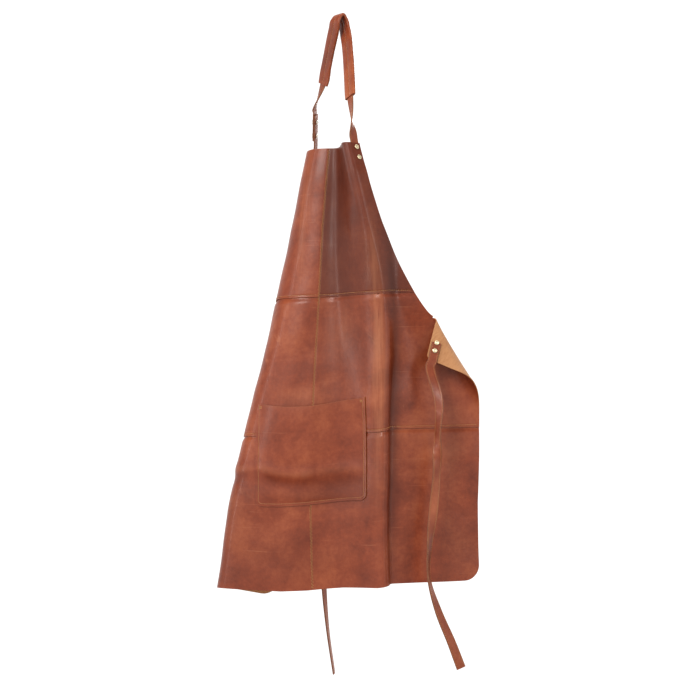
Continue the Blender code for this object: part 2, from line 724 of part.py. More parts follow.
def build():
    clear_scene()
    group = collection(NAME)
    cutters = collection("rivet_punches")
    hide = material("hide", (0.33, 0.105, 0.045), 0.45)
    pocket_hide = material("pocket_hide", (0.30, 0.092, 0.04), 0.45)
    strap_leather = material("strap_leather", (0.31, 0.10, 0.05), 0.5)
    pad_leather = material("pad_leather", (0.26, 0.075, 0.035), 0.5)
    brass = material("pale_brass", (0.80, 0.68, 0.42), 0.28, 1.0)
    nickel = material("nickel", (0.72, 0.70, 0.66), 0.3, 1.0)

    panels = {}
    for part, top, bottom in (("bib", 0.0, UPPER_SEAM_V), ("waist", UPPER_SEAM_V, LOWER_SEAM_V),
                              ("skirt", LOWER_SEAM_V, LENGTH)):
        for word, side in (("left", -1), ("right", 1)):
            name = f"{part}_panel_{word}"
            panels[name] = make_panel(name, top, bottom, side, hide, group)
    make_pocket(pocket_hide, group)

    # Strap ends riveted to the bib corners and to the waist corners
    end_rings = [ring_corners(STRAP_WIDTH, STRAP_THICKNESS)]
    strips = {}
    for word, side in (("left", -1), ("right", 1)):
        low, high = NECK_END_FLAT
        strips["neck_" + word] = flesh_strip((side * low[0], low[1]), (side * high[0], high[1]),
                                             stub_depth())
        near, far = WAIST_END_FLAT
        strips["waist_" + word] = flesh_strip((side * near[0], near[1]), (side * far[0], far[1]),
                                              stub_depth())
    names = {"neck_left": "neck_tab_end", "neck_right": "neck_strap_end",
             "waist_right": "waist_tie_right_end"}
    ends = {key: loft(strips[key], end_rings, name, strap_leather, group)
            for key, name in names.items()}
    # The left tie's end also runs on round the rear edge, down to where the tie hangs plumb
    centres, widths, _ = strips["waist_left"]
    stations = [station(centres[k], widths[k]) for k in (0, 3, 7)]
    start, run, width = past_end(strips["waist_left"], TIE_LEAD)
    stations.append(station(start, width))
    stations += [station(np.array(place), np.array(direction)) for place, direction in TIE_LEFT_BEND]
    ends["waist_left"] = strap(stations, TIE_END_RINGS, "waist_tie_left_end", strap_leather, group)
    for word in ("left", "right"):
        corner_rivets("bib_" + word, strips["neck_" + word], NECK_RIVET_BACK,
                      (panels["bib_panel_" + word], ends["neck_" + word]), brass, group, cutters)
        corner_rivets("waist_" + word, strips["waist_" + word], WAIST_RIVET_BACK,
                      (panels["waist_panel_" + word], ends["waist_" + word]), brass, group, cutters)

    # Neck tab on the left, with the strap's low end lying on it and two press studs through both
    foot, foot_run, foot_width = past_end(strips["neck_left"], HINGE_GAP)
    bend = foot + foot_run * TAB_RISE
    run = np.array(TAB_TOP) - bend
    length = np.linalg.norm(run)
    run /= length
    tab_width = foot_width - run * np.dot(foot_width, run)
    tab_width /= np.linalg.norm(tab_width)
    face = np.cross(run, tab_width)
    face *= -np.sign(face[0])
    stations = [station(foot, foot_width), station(foot + foot_run * TAB_RISE / 3, foot_width)]
    stations += [station(bend + run * length * k / 4, tab_width) for k in range(5)]
    tab = strap(stations, TAB_RINGS, "neck_tab", strap_leather, group)

    lie = face * (STRAP_THICKNESS + FIT_GAP)
    low_stations = [station(bend + run * length * share + lie, tab_width) for share in LAP_SHARES]
    pad_stations = [station(np.array(place), level_width(heading)) for place, heading in PAD_ROUTE]
    right_foot, right_run, right_width = past_end(strips["neck_right"], HINGE_GAP)
    right_width = right_width * np.sign(right_width[1]) * -1
    high_stations = [station(np.array(place), level_width(heading)) for place, heading in RIGHT_TWIST]
    high_stations += [station(right_foot + right_run * 0.008, right_width),
                      station(right_foot, right_width)]
    route = low_stations + pad_stations + high_stations
    frames = ribbon_frames(route, NECK_RINGS)
    neck_strap = loft(frames, end_rings, "neck_strap", strap_leather, group)
    rings_each = (NECK_RINGS - 1) / (len(route) - 1)
    pad_first = int(rings_each * len(low_stations)) + 1
    pad_last = int(rings_each * (len(low_stations) + len(pad_stations) - 1))
    pad_frames = [values[pad_first : pad_last + 1] for values in frames]
    clear = PAD_CLEARANCE * 2
    pad_rings = [ring_corners(PAD_WIDTH, PAD_THICKNESS),
                 ring_corners(STRAP_WIDTH + clear, STRAP_THICKNESS + clear)]
    loft(pad_frames, pad_rings, "neck_pad", pad_leather, group)
    stack = 2 * STRAP_THICKNESS + FIT_GAP
    for k, share in enumerate(STUD_SHARES):
        middle = Vector(bend + run * length * share + lie / 2)
        stud(f"press_stud_{k + 1}", middle, Vector(face), stack, (tab, neck_strap), nickel, group,
             cutters)

    # Waist ties hang from their riveted ends
    start, run, width = past_end(strips["waist_right"], HINGE_GAP)
    stations = [station(start, width), station(start + run * TIE_LEAD, width)]
    stations += [station(np.array(place), np.array(direction)) for place, direction in TIE_RIGHT]
    strap(stations, TIE_RINGS, "waist_tie_right", strap_leather, group)
    stations = [station(np.array(place), np.array(direction)) for place, direction in TIE_LEFT]
    strap(stations, TIE_RINGS, "waist_tie_left", strap_leather, group)


build()
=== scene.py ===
"""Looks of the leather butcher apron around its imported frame.

Metres, +Z up, -Y towards the front, where the grain side faces. The hide is drawn flat, with u
along it from the centre seam and v down from the top of the bib, and drape() hangs it.
"""

import math

import bpy
import numpy as np
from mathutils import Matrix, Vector


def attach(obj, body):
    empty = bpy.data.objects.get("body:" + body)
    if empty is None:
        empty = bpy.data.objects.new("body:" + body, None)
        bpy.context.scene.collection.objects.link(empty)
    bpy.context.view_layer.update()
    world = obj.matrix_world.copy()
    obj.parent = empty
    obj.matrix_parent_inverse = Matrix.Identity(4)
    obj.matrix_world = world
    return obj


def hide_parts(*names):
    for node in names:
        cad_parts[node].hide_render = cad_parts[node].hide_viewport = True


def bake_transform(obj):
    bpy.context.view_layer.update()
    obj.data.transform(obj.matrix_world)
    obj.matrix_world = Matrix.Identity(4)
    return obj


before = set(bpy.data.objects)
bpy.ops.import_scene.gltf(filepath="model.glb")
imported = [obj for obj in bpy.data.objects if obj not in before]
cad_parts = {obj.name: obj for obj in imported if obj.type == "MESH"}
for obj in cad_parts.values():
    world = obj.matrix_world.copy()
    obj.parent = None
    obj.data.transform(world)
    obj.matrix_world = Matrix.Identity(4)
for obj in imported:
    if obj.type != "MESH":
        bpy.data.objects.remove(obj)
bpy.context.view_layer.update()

# Flat pattern, the same as the frame's
BIB_TOP_Z = -0.253
BIB_HALF_WIDTH = 0.130
SKIRT_HALF_WIDTH = 0.341
WAIST_V = 0.370
LENGTH = 0.850
UPPER_SEAM_V = 0.289
LOWER_SEAM_V = 0.557
ARMHOLE_FALL = 1.05
ARMHOLE_SWEEP = 3.0
WAIST_CORNER_RADIUS = 0.012
HEM_CORNER_RADIUS = 0.030
HIDE = 0.0018
FIT_GAP = 0.0003
LAP = 0.010

SEAM_RUN_V = (0.0, 0.150, 0.290, 0.470, 0.700, LENGTH)
SEAM_RUN_X = (-0.027, -0.0395, -0.0465, -0.0565, -0.062, -0.058)
SEAM_RUN_Y = (0.004, -0.002, -0.008, -0.018, -0.032, -0.040)
SECTION_V = (0.0, UPPER_SEAM_V, 0.560, LENGTH)
RIGHT_DISTANCE = (
    (0.0, 0.008, 0.022, 0.040, 0.082, 0.094, 0.103, 0.109, 0.345),
    (0.0, 0.020, 0.045, 0.090, 0.124, 0.140, 0.150, 0.170, 0.186),
    (0.0, 0.030, 0.070, 0.110, 0.138, 0.146, 0.162, 0.172, 0.345),
    (0.0, 0.030, 0.070, 0.110, 0.138, 0.146, 0.162, 0.172, 0.345),
)
RIGHT_HEADING = (
    (4, -6, -70, -88, -86, -50, 4, 38, 38),
    (4, -6, -38, -44, -28, 0, 46, 46, 2),
    (2, -6, -22, -28, -20, 30, 76, 10, 12),
    (0, -6, -20, -28, -22, 30, 80, 10, 14),
)
TURN_TOP_U = 0.060
TURN_HEM_U = 0.204
LEFT_DISTANCE = (
    (-0.200, -0.075, -0.040, 0.0, 0.030, 0.070, 0.150, 0.300),
    (-0.200, -0.100, -0.055, 0.0, 0.040, 0.090, 0.160, 0.300),
    (-0.260, -0.095, -0.038, 0.0, 0.032, 0.070, 0.160, 0.300),
    (-0.260, -0.100, -0.030, 0.0, 0.027, 0.050, 0.160, 0.300),
)
LEFT_TURN = (
    (-4, -4, 16, 84, 102, 108, 110, 110),
    (-4, 0, 22, 86, 106, 112, 113, 113),
    (-2, 6, 22, 88, 128, 142, 144, 142),
    (0, 5, 22, 90, 150, 172, 174, 174),
)
ROW_RISE_FULL_V = 0.600
ROW_RISE_U = (-0.345, -0.205, -0.110, -0.060, -0.010, 0.060, 0.130, 0.165, SKIRT_HALF_WIDTH)
ROW_RISE = (0.024, 0.004, 0.002, 0.0, 0.002, 0.009, 0.012, 0.018, 0.020)
FOLD_START = (0.246, 0.341)
FOLD_SLANT = math.radians(22)
FOLD_TIGHT_RADIUS = 0.0028
FOLD_FLARE = 0.15
FOLD_TURN = math.radians(170)

# Pocket
POCKET_HALF_WIDTH = 0.108
POCKET_TOP_V = 0.492
POCKET_BOTTOM_V = 0.688
POCKET_TILT = math.radians(-1.5)
POCKET_CORNER = 0.012
POCKET_BULGE = 0.014
POCKET_GAP = 0.0007
POCKET_SEAM = 0.006
MOUTH_DIP = 0.008

# Straps, their ends and their routes
STRAP_WIDTH = 0.018
STRAP_THICKNESS = 0.0024
NECK_END_FLAT = ((0.1275, 0.042), (0.1195, -0.006))
NECK_RIVET_BACK = (0.015, 0.035)
WAIST_END_FLAT = ((0.2995, 0.3672), (0.3430, 0.3806))
WAIST_RIVET_BACK = (0.0205, 0.0365)
HINGE_GAP = 0.0030
END_GAP = 0.0008
TAB_TOP = (-0.0535, 0.066, -0.178)
TAB_RISE = 0.022
LAP_SHARES = (0.22, 0.48, 0.74, 1.00, 1.12, 1.24)
STUD_SHARES = (0.36, 0.78)
PAD_ROUTE = (
    ((-0.0395, 0.048, -0.121), -53),
    ((-0.0325, 0.034, -0.088), -53),
    ((-0.0245, 0.018, -0.052), -53),
    ((-0.0175, 0.001, -0.024), -53),
    ((-0.0146, -0.0050, -0.008), -53),
    ((-0.0070, 0.0000, 0.0031), -53),
    ((0.0006, 0.0050, -0.008), -53),
    ((0.0040, 0.0020, -0.026), -53),
    ((0.0075, -0.010, -0.050), -53),
    ((0.0105, -0.022, -0.088), -53),
    ((0.0125, -0.036, -0.126), -53),
    ((0.0140, -0.050, -0.163), -56),
)
RIGHT_TWIST = (
    ((0.0165, -0.061, -0.193), -74),
    ((0.0180, -0.069, -0.216), -102),
)
TIE_LEAD = 0.014
TIE_RIGHT = (
    ((0.180, -0.078, -0.740), (0.9, -0.3, 0.0)),
    ((0.178, -0.082, -0.800), (0.6, -0.8, 0.0)),
    ((0.176, -0.084, -0.870), (0.75, 0.5, 0.0)),
    ((0.170, -0.086, -0.940), (0.95, 0.2, 0.0)),
    ((0.162, -0.090, -1.010), (0.5, 0.8, 0.0)),
    ((0.161, -0.094, -1.070), (0.3, 0.9, 0.0)),
    ((0.178, -0.092, -1.130), (0.6, 0.6, 0.0)),
    ((0.203, -0.086, -1.190), (0.8, 0.4, -0.2)),
    ((0.222, -0.080, -1.240), (0.9, 0.2, -0.3)),
)
TIE_LEFT = (
    ((-0.0520, 0.2620, -0.722), (0.5, 0.7, 0.2)),
    ((-0.0460, 0.2660, -0.790), (0.6, 0.7, 0.0)),
    ((-0.044, 0.264, -0.880), (0.6, 0.8, 0.0)),
    ((-0.043, 0.260, -0.970), (0.65, 0.75, 0.0)),
    ((-0.043, 0.256, -1.060), (0.7, 0.7, 0.0)),
    ((-0.041, 0.252, -1.140), (0.5, 0.85, 0.0)),
    ((-0.033, 0.248, -1.230), (0.25, 0.95, 0.0)),
    ((-0.020, 0.246, -1.320), (0.15, 0.98, 0.0)),
)

# Rivets and press studs
RIVET_HEAD_RADIUS = 0.0047
RIVET_HEAD_HEIGHT = 0.0016
HEAD_GAP = 0.0006
STUD_RADIUS = 0.0062
STUD_HEIGHT = 0.0034
STUD_SOCKET_DEPTH = 0.0026

# Threads
THREAD = 0.00042
SEAM_STITCH = 0.0042
STRAP_STITCH = 0.0036
THREAD_SUNK = 0.0003
SEAM_ROW_BACK = 0.0040
ZIGZAG_REACH = 0.0026
ZIGZAG_PITCH = 0.0030

REACH = 0.003
TABLE_STEP = 0.001
TABLE_ROWS = 441
TABLE_MARGIN = 0.014

# Creases in the hide: flat start and end, height over the grain side, half width
CREASES = (
    ((-0.106, 0.616), (0.000, 0.632), 0.0018, 0.0125),
    ((-0.016, 0.632), (0.104, 0.620), 0.0014, 0.0130),
    ((-0.106, 0.644), (0.104, 0.654), -0.0020, 0.0150),
    ((-0.310, 0.610), (-0.112, 0.622), 0.0018, 0.0120),
    ((-0.300, 0.638), (-0.112, 0.646), -0.0014, 0.0140),
    ((0.170, 0.634), (0.338, 0.618), -0.0007, 0.0110),
)
# Long soft waves: length, direction in degrees from u, height, phase
WAVES = (
    (0.110, 12, 0.00055, 0.4),
    (0.171, -19, 0.00090, 2.1),
    (0.230, 63, 0.00080, 0.9),
    (0.074, 81, 0.00018, 2.6),
)
# Painted shade over the bib's right panel: how deep it darkens the colour
BIB_RIGHT_PAINTED_SHADE = 0.58
# Darker places in the colour, partly painted shade (the right of the bib between the seam and the pleat, and
# the band down the right side of the long pleat) and partly darker patches of the hide: flat middle, half
# sizes, strength
DARK_PATCH_AND_PAINTED_SHADE_PLACES = (
    ((0.030, 0.120), (0.040, 0.200), 0.35),
    ((0.171, 0.500), (0.012, 0.330), 0.75),
    ((0.050, 0.400), (0.070, 0.110), 0.28),
    ((0.060, 0.665), (0.090, 0.035), 0.45),
    ((-0.190, 0.700), (0.090, 0.070), 0.30),
    ((-0.060, 0.790), (0.120, 0.040), 0.25),
    ((0.260, 0.560), (0.060, 0.070), 0.25),
    ((0.300, 0.780), (0.050, 0.050), 0.30),
)
# Paler places, partly painted highlight (the ridge of the long pleat, the streaky band beside the right
# armhole and the stripe on the left of the bib) and partly pale pulled leather: flat middle, half sizes,
# strength
PALE_PATCH_AND_PAINTED_HIGHLIGHT_PLACES = (
    ((0.133, 0.430), (0.012, 0.190), 0.90),
    ((0.126, 0.225), (0.013, 0.065), 0.75),
    ((-0.040, 0.120), (0.012, 0.150), 0.40),
    ((-0.120, 0.330), (0.025, 0.040), 0.35),
    ((0.045, 0.350), (0.030, 0.050), 0.30),
    ((-0.020, 0.480), (0.050, 0.020), 0.30),
    ((0.275, 0.600), (0.030, 0.012), 0.30),
)
# Corners that stay flat under their rivets: flat place, radius
STILL_SPOTS = ((0.122, 0.015, 0.055), (-0.122, 0.015, 0.055), (0.318, 0.374, 0.085), (-0.318, 0.374, 0.060))


def half_width(v):
    """Half the flat width of the hide at a height, with its round waist and hem corners."""
    v = np.asarray(v, float)
    rest = 1.0 - np.clip(v / WAIST_V, 0.0, 1.0) ** ARMHOLE_FALL
    curved = SKIRT_HALF_WIDTH - (SKIRT_HALF_WIDTH - BIB_HALF_WIDTH) * rest ** (1.0 / ARMHOLE_SWEEP)
    start_u, start_v = FOLD_START
    rise = np.array((SKIRT_HALF_WIDTH - start_u, WAIST_V - start_v))
    rise = rise / np.linalg.norm(rise)
    radius = WAIST_CORNER_RADIUS
    centre_v = WAIST_V + radius * (1.0 - rise[1]) / rise[0]
    touch_v = centre_v - radius * rise[0]
    straight = start_u + (v - start_v) * rise[0] / rise[1]
    corner = SKIRT_HALF_WIDTH - radius + np.sqrt(np.clip(radius**2 - (v - centre_v) ** 2, 0.0, None))
    below = np.where(v < touch_v, straight, np.where(v < centre_v, corner, SKIRT_HALF_WIDTH))
    width = np.where(v < start_v, np.minimum(curved, start_u), below)
    radius = HEM_CORNER_RADIUS
    past = np.clip(v - (LENGTH - radius), 0.0, radius)
    return width - (radius - np.sqrt(np.clip(radius**2 - past**2, 0.0, None)))


def between_sections(table, v):
    """Rows of a table given at SECTION_V, read smoothly at the heights v."""
    rows = np.asarray(SECTION_V)
    values = np.asarray(table, float)
    slopes = np.gradient(values, rows, axis=0)
    v = np.clip(v, rows[0], rows[-1])
    low = np.clip(np.searchsorted(rows, v, side="right") - 1, 0, len(rows) - 2)
    span = (rows[low + 1] - rows[low])[:, None]
    t = (v - rows[low])[:, None] / span
    return (
        (2 * t**3 - 3 * t**2 + 1) * values[low]
        + (t**3 - 2 * t**2 + t) * span * slopes[low]
        + (3 * t**2 - 2 * t**3) * values[low + 1]
        + (t**3 - t**2) * span * slopes[low + 1]
    )


def angle_at(distance, knots, degrees):
    """Piecewise linear angle, so the hide bends in arcs; one row of knots per height."""
    angle = np.repeat(degrees[:, :1], distance.shape[1], axis=1)
    for k in range(knots.shape[1] - 1):
        start = knots[:, k : k + 1]
        span = knots[:, k + 1 : k + 2] - start
        change = degrees[:, k + 1 : k + 2] - degrees[:, k : k + 1]
        angle = angle + change * np.clip((distance - start) / span, 0.0, 1.0)
    return np.radians(angle)


def run_lengths(points):
    """Distance along a row of points, from its first."""
    return np.concatenate(([0.0], np.cumsum(np.linalg.norm(np.diff(points, axis=0), axis=1))))


def smooth(value, top):
    t = np.clip(value / top, 0.0, 1.0)
    return t * t * (3 - 2 * t)


def hanging_table():
    """Places of the open hide on a fine grid of heights and distances, left half then right."""
    v = np.linspace(-TABLE_MARGIN, LENGTH + TABLE_MARGIN, TABLE_ROWS)
    count = int(round((SKIRT_HALF_WIDTH + TABLE_MARGIN) / TABLE_STEP))
    run = np.broadcast_to((np.arange(count) + 0.5) * TABLE_STEP, (TABLE_ROWS, count))
    right = angle_at(run, between_sections(RIGHT_DISTANCE, v), between_sections(RIGHT_HEADING, v))
    slant = math.atan2(TURN_HEM_U - TURN_TOP_U, LENGTH)
    lean = math.sin(slant)
    fall = math.cos(slant)
    turn_u = TURN_TOP_U + (TURN_HEM_U - TURN_TOP_U) * v / LENGTH
    past = (run - turn_u[:, None]) * fall
    left = angle_at(past, between_sections(LEFT_DISTANCE, v), between_sections(LEFT_TURN, v))
    along_right = np.stack((np.cos(right), np.sin(right), np.zeros_like(right)), axis=2)
    flat_part = 1.0 - np.cos(left)
    along_left = np.stack(
        (-np.cos(left) - lean * lean * flat_part, np.sin(left) * fall, -fall * lean * flat_part),
        axis=2,
    )
    seam = np.stack(
        (np.interp(v, SEAM_RUN_V, SEAM_RUN_X), np.interp(v, SEAM_RUN_V, SEAM_RUN_Y), BIB_TOP_Z - v),
        axis=1,
    )[:, None, :]
    halves = [seam + np.cumsum(along, axis=1) * TABLE_STEP for along in (along_left, along_right)]
    return v, np.concatenate((halves[0][:, ::-1], seam, halves[1]), axis=1)


TABLE_V, TABLE = hanging_table()


def drape_open(u, v):
    """Place of flat points on the hanging hide, before the waist corner is folded."""
    half = (TABLE.shape[1] - 1) // 2
    x = np.clip(u / TABLE_STEP + half, 0.0, 2 * half - 1e-6)
    y = (v - TABLE_V[0]) / (TABLE_V[1] - TABLE_V[0])
    y = np.clip(y, 0.0, TABLE_ROWS - 1 - 1e-6)
    i = x.astype(int)
    j = y.astype(int)
    fx = (x - i)[:, None]
    fy = (y - j)[:, None]
    place = (
        (TABLE[j, i] * (1 - fx) + TABLE[j, i + 1] * fx) * (1 - fy)
        + (TABLE[j + 1, i] * (1 - fx) + TABLE[j + 1, i + 1] * fx) * fy
    )
    place[:, 2] += smooth(v, ROW_RISE_FULL_V) * np.interp(u, ROW_RISE_U, ROW_RISE)
    return place


def drape(u, v):
    """Place of flat points on the hanging hide, with the right waist corner folded over."""
    u = np.asarray(u, float)
    v = np.asarray(v, float)
    place = drape_open(u, v)
    along = np.array((math.sin(FOLD_SLANT), math.cos(FOLD_SLANT)))
    across = np.array((math.cos(FOLD_SLANT), -math.sin(FOLD_SLANT)))
    offset = np.stack((u - FOLD_START[0], v - FOLD_START[1]), axis=1)
    past = offset @ across
    down = offset @ along
    folded = (past > 0) & (down > -FOLD_TIGHT_RADIUS / FOLD_FLARE)
    if not folded.any():
        return place
    past = past[folded]
    down = down[folded]
    foot_u = FOLD_START[0] + down * along[0]
    foot_v = FOLD_START[1] + down * along[1]
    foot = drape_open(foot_u, foot_v)
    out = drape_open(foot_u + REACH * across[0], foot_v + REACH * across[1]) - foot
    run = drape_open(foot_u + REACH * along[0], foot_v + REACH * along[1]) - foot
    run /= np.linalg.norm(run, axis=1)[:, None]
    out -= run * np.sum(out * run, axis=1)[:, None]
    out /= np.linalg.norm(out, axis=1)[:, None]
    front = np.cross(run, out)
    radius = np.maximum(FOLD_TIGHT_RADIUS + FOLD_FLARE * down, 0.001)
    turn = np.minimum(past / radius, FOLD_TURN)
    rest = past - turn * radius
    sideways = radius * np.sin(turn) + rest * np.cos(turn)
    forward = radius * (1 - np.cos(turn)) + rest * np.sin(turn)
    front *= -np.sign(front[:, 1:2])
    place[folded] = foot + out * sideways[:, None] + front * forward[:, None]
    return place


def still(u, v):
    """One over most of the hide and zero at the riveted corners."""
    share = np.ones_like(u)
    for spot_u, spot_v, radius in STILL_SPOTS:
        share *= smooth(np.hypot(u - spot_u, v - spot_v) - 0.4 * radius, 0.6 * radius)
    return share


def relief(u, v):
    """Waves and creases of the hide: height over its smooth hanging shape."""
    height = np.zeros_like(u)
    for length, degrees, rise, phase in WAVES:
        angle = math.radians(degrees)
        run = u * math.cos(angle) + v * math.sin(angle)
        bent = 0.9 * np.sin(2 * math.pi * (v * math.cos(angle) - u * math.sin(angle)) / (3.1 * length))
        height += rise * np.sin(2 * math.pi * run / length + phase + bent)
    for (u0, v0), (u1, v1), rise, width in CREASES:
        long_u, long_v = u1 - u0, v1 - v0
        length = math.hypot(long_u, long_v)
        share = ((u - u0) * long_u + (v - v0) * long_v) / length**2
        side = ((u - u0) * -long_v + (v - v0) * long_u) / length
        side = side + 0.30 * width * np.sin(share * 4.0 + rise * 5000)
        ends = smooth(share + 0.08, 0.25) * smooth(1.08 - share, 0.25)
        height += rise * np.exp(-((side / width) ** 2)) * ends
    return height * still(u, v)


def spread(places, u, v, first=0.0):
    """Soft-edged places over the hide, added to a first value and kept between zero and one."""
    total = first + np.zeros_like(u)
    for (middle_u, middle_v), (size_u, size_v), strength in places:
        total += strength * np.exp(-(((u - middle_u) / size_u) ** 2) - ((v - middle_v) / size_v) ** 2)
    return np.clip(total, 0.0, 1.0)


def surface(u, v, lift):
    """Place and grain-side normal of flat points lifted off the smooth hide."""
    place = drape(u, v)
    across = drape(u + REACH, v) - drape(u - REACH, v)
    up = drape(u, v - REACH) - drape(u, v + REACH)
    normal = np.cross(across, up)
    normal /= np.linalg.norm(normal, axis=1)[:, None]
    return place + normal * lift[:, None], normal


# ---------------------------------------------------------------- materials


class Finish:
    """A node material, with short ways to add its nodes."""

    def __init__(self, name):
        self.made = bpy.data.materials.new(name)
        self.made.use_nodes = True
        self.tree = self.made.node_tree
        self.shader = self.tree.nodes["Principled BSDF"]
        self.where = self.add("ShaderNodeTexCoord").outputs["UV"]

    def add(self, kind, **given):
        node = self.tree.nodes.new(kind)
        for key, value in given.items():
            setattr(node, key, value)
        return node

    def put(self, socket, value):
        if isinstance(value, bpy.types.NodeSocket):
            self.tree.links.new(value, socket)
        else:
            socket.default_value = value

    def stretched(self, scale, turn=0.0, shift=0.0):
        node = self.add("ShaderNodeMapping")
        node.inputs["Scale"].default_value = scale
        node.inputs["Rotation"].default_value = (0.0, 0.0, math.radians(turn))
        node.inputs["Location"].default_value = (shift, shift * 0.7, shift * 0.4)
        self.put(node.inputs["Vector"], self.where)
        return node.outputs["Vector"]

    def noise(self, scale, detail=4.0, roughness=0.55, distortion=0.0, vector=None):
        node = self.add("ShaderNodeTexNoise")
        self.put(node.inputs["Vector"], vector or self.where)
        node.inputs["Scale"].default_value = scale
        node.inputs["Detail"].default_value = detail
        node.inputs["Roughness"].default_value = roughness
        node.inputs["Distortion"].default_value = distortion
        return node.outputs["Fac"]

    def cells(self, scale, vector=None, feature="F1"):
        node = self.add("ShaderNodeTexVoronoi", feature=feature)
        self.put(node.inputs["Vector"], vector or self.where)
        node.inputs["Scale"].default_value = scale
        return node.outputs["Distance"]

    def ramp(self, fac, *stops):
        node = self.add("ShaderNodeValToRGB")
        self.put(node.inputs["Fac"], fac)
        band = node.color_ramp
        while len(band.elements) < len(stops):
            band.elements.new(0.5)
        for element, (place, colour) in zip(band.elements, stops):
            element.position = place
            element.color = (*colour, 1.0) if isinstance(colour, tuple) else (colour, colour, colour, 1.0)
        return node.outputs["Color"]

    def maths(self, operation, a, b=0.0):
        node = self.add("ShaderNodeMath", operation=operation)
        self.put(node.inputs[0], a)
        self.put(node.inputs[1], b)
        return node.outputs[0]

    def mix(self, fac, a, b, blend="MIX"):
        node = self.add("ShaderNodeMix", data_type="RGBA", blend_type=blend)
        for socket, value in ((node.inputs[0], fac), (node.inputs[6], a), (node.inputs[7], b)):
            if isinstance(value, tuple):
                value = (*value, 1.0)
            self.put(socket, value)
        return node.outputs[2]

    def told(self, name):
        return self.add("ShaderNodeAttribute", attribute_name=name).outputs["Fac"]

    def bump(self, height, distance, strength=1.0, over=None):
        node = self.add("ShaderNodeBump")
        node.inputs["Strength"].default_value = strength
        node.inputs["Distance"].default_value = distance
        self.put(node.inputs["Height"], height)
        if over:
            self.put(node.inputs["Normal"], over)
        return node.outputs["Normal"]

    def shine(self, **values):
        for key, value in values.items():
            self.put(self.shader.inputs[key.replace("_", " ")], value)
        return self.made


def grain_leather(name, dark, middle, light, pulled_and_painted_highlight, rough=0.42):
    """Waxed pull-up leather: mottled, paler where it is creased, with fine pores and scuffs, and with
    painted shade and painted highlight in places.
    """
    f = Finish(name)
    cloud = f.noise(5.5, 5.0, 0.6, 0.6)
    patch = f.noise(26.0, 4.0, 0.6, 0.3)
    fleck = f.noise(140.0, 3.0, 0.6)
    tone = f.maths("ADD", f.maths("MULTIPLY", cloud, 0.55), f.maths("MULTIPLY", patch, 0.30))
    tone = f.maths("ADD", tone, f.maths("MULTIPLY", fleck, 0.15))
    colour = f.ramp(tone, (0.36, dark), (0.50, middle), (0.64, light))
    scuff = f.ramp(f.noise(9.0, 6.0, 0.75, 1.8), (0.60, 0.0), (0.70, 0.55), (0.78, 0.1))
    scuff_spread = f.noise(3.2, 2.0, 0.5, 0.0, f.stretched((1, 1, 1), 0, 3.7))
    scuff_spread = f.ramp(scuff_spread, (0.48, 0.0), (0.62, 1.0))
    scuff = f.mix(scuff_spread, (0.0, 0.0, 0.0), scuff)
    scratch = None
    for turn, shift in ((38, 0.0), (-52, 5.3), (12, 9.1)):
        fine = f.noise(1.0, 2.0, 0.5, 0.25, f.stretched((4.0, 230.0, 1.0), turn, shift))
        line = f.ramp(fine, (0.690, 0.0), (0.705, 0.8), (0.715, 0.0))
        where = f.noise(7.0, 2.0, 0.5, 0.0, f.stretched((1, 1, 1), 0, shift + 2.0))
        where = f.ramp(where, (0.52, 0.0), (0.60, 1.0))
        line = f.mix(where, (0.0, 0.0, 0.0), line)
        scratch = line if scratch is None else f.mix(1.0, scratch, line, "ADD")
    ridge = f.told("ridge")
    colour = f.mix(f.maths("MULTIPLY", ridge, 0.26), colour, pulled_and_painted_highlight)
    colour = f.mix(f.maths("MULTIPLY", scuff, 0.60), colour, pulled_and_painted_highlight)
    colour = f.mix(f.maths("MULTIPLY", scratch, 0.50), colour, pulled_and_painted_highlight)
    # Painted shade: darker in the hollows of the hide and along the strap's stitch grooves
    colour = f.mix(f.maths("MULTIPLY", f.told("painted_hollow_shade"), 0.45), colour, dark)
    # Painted highlight, partly pale pulled leather: pale streaks over the pulled places
    streak = f.noise(1.0, 4.0, 0.7, 0.3, f.stretched((150.0, 9.0, 1.0), 0, 6.1))
    streak = f.ramp(streak, (0.34, 0.25), (0.62, 1.0))
    colour = f.mix(f.maths("MULTIPLY", f.maths("MULTIPLY", f.told("pulled_and_painted_highlight"), 0.62), streak), colour, pulled_and_painted_highlight)
    # Painted shade, partly darker patches: the dye places and the bib's right panel turn towards a deeper
    # dark
    colour = f.mix(f.maths("MULTIPLY", f.told("dye_and_painted_shade"), 0.80), colour, tuple(0.42 * part for part in dark))
    gloss = f.noise(17.0, 5.0, 0.65, 0.4, f.stretched((1, 1, 1), 0, 1.9))
    gloss = f.maths("ADD", rough - 0.13, f.maths("MULTIPLY", gloss, 0.22))
    gloss = f.maths("ADD", gloss, f.maths("MULTIPLY", scuff, 0.14))
    pores = f.cells(620.0)
    wrinkle = f.cells(95.0, f.stretched((1.0, 1.0, 1.0), 20, 0.0), "SMOOTH_F1")
    pull = f.noise(42.0, 6.0, 0.68, 0.8)
    bumped = f.bump(pores, 0.00012, 0.55)
    bumped = f.bump(wrinkle, 0.0006, 0.18, bumped)
    bumped = f.bump(pull, 0.0016, 0.30, bumped)
    bumped = f.bump(scratch, 0.00015, 0.5, bumped)
    return f.shine(Base_Color=colour, Roughness=gloss, Normal=bumped, Specular_IOR_Level=0.32,
                   Coat_Weight=0.20, Coat_Roughness=0.22)


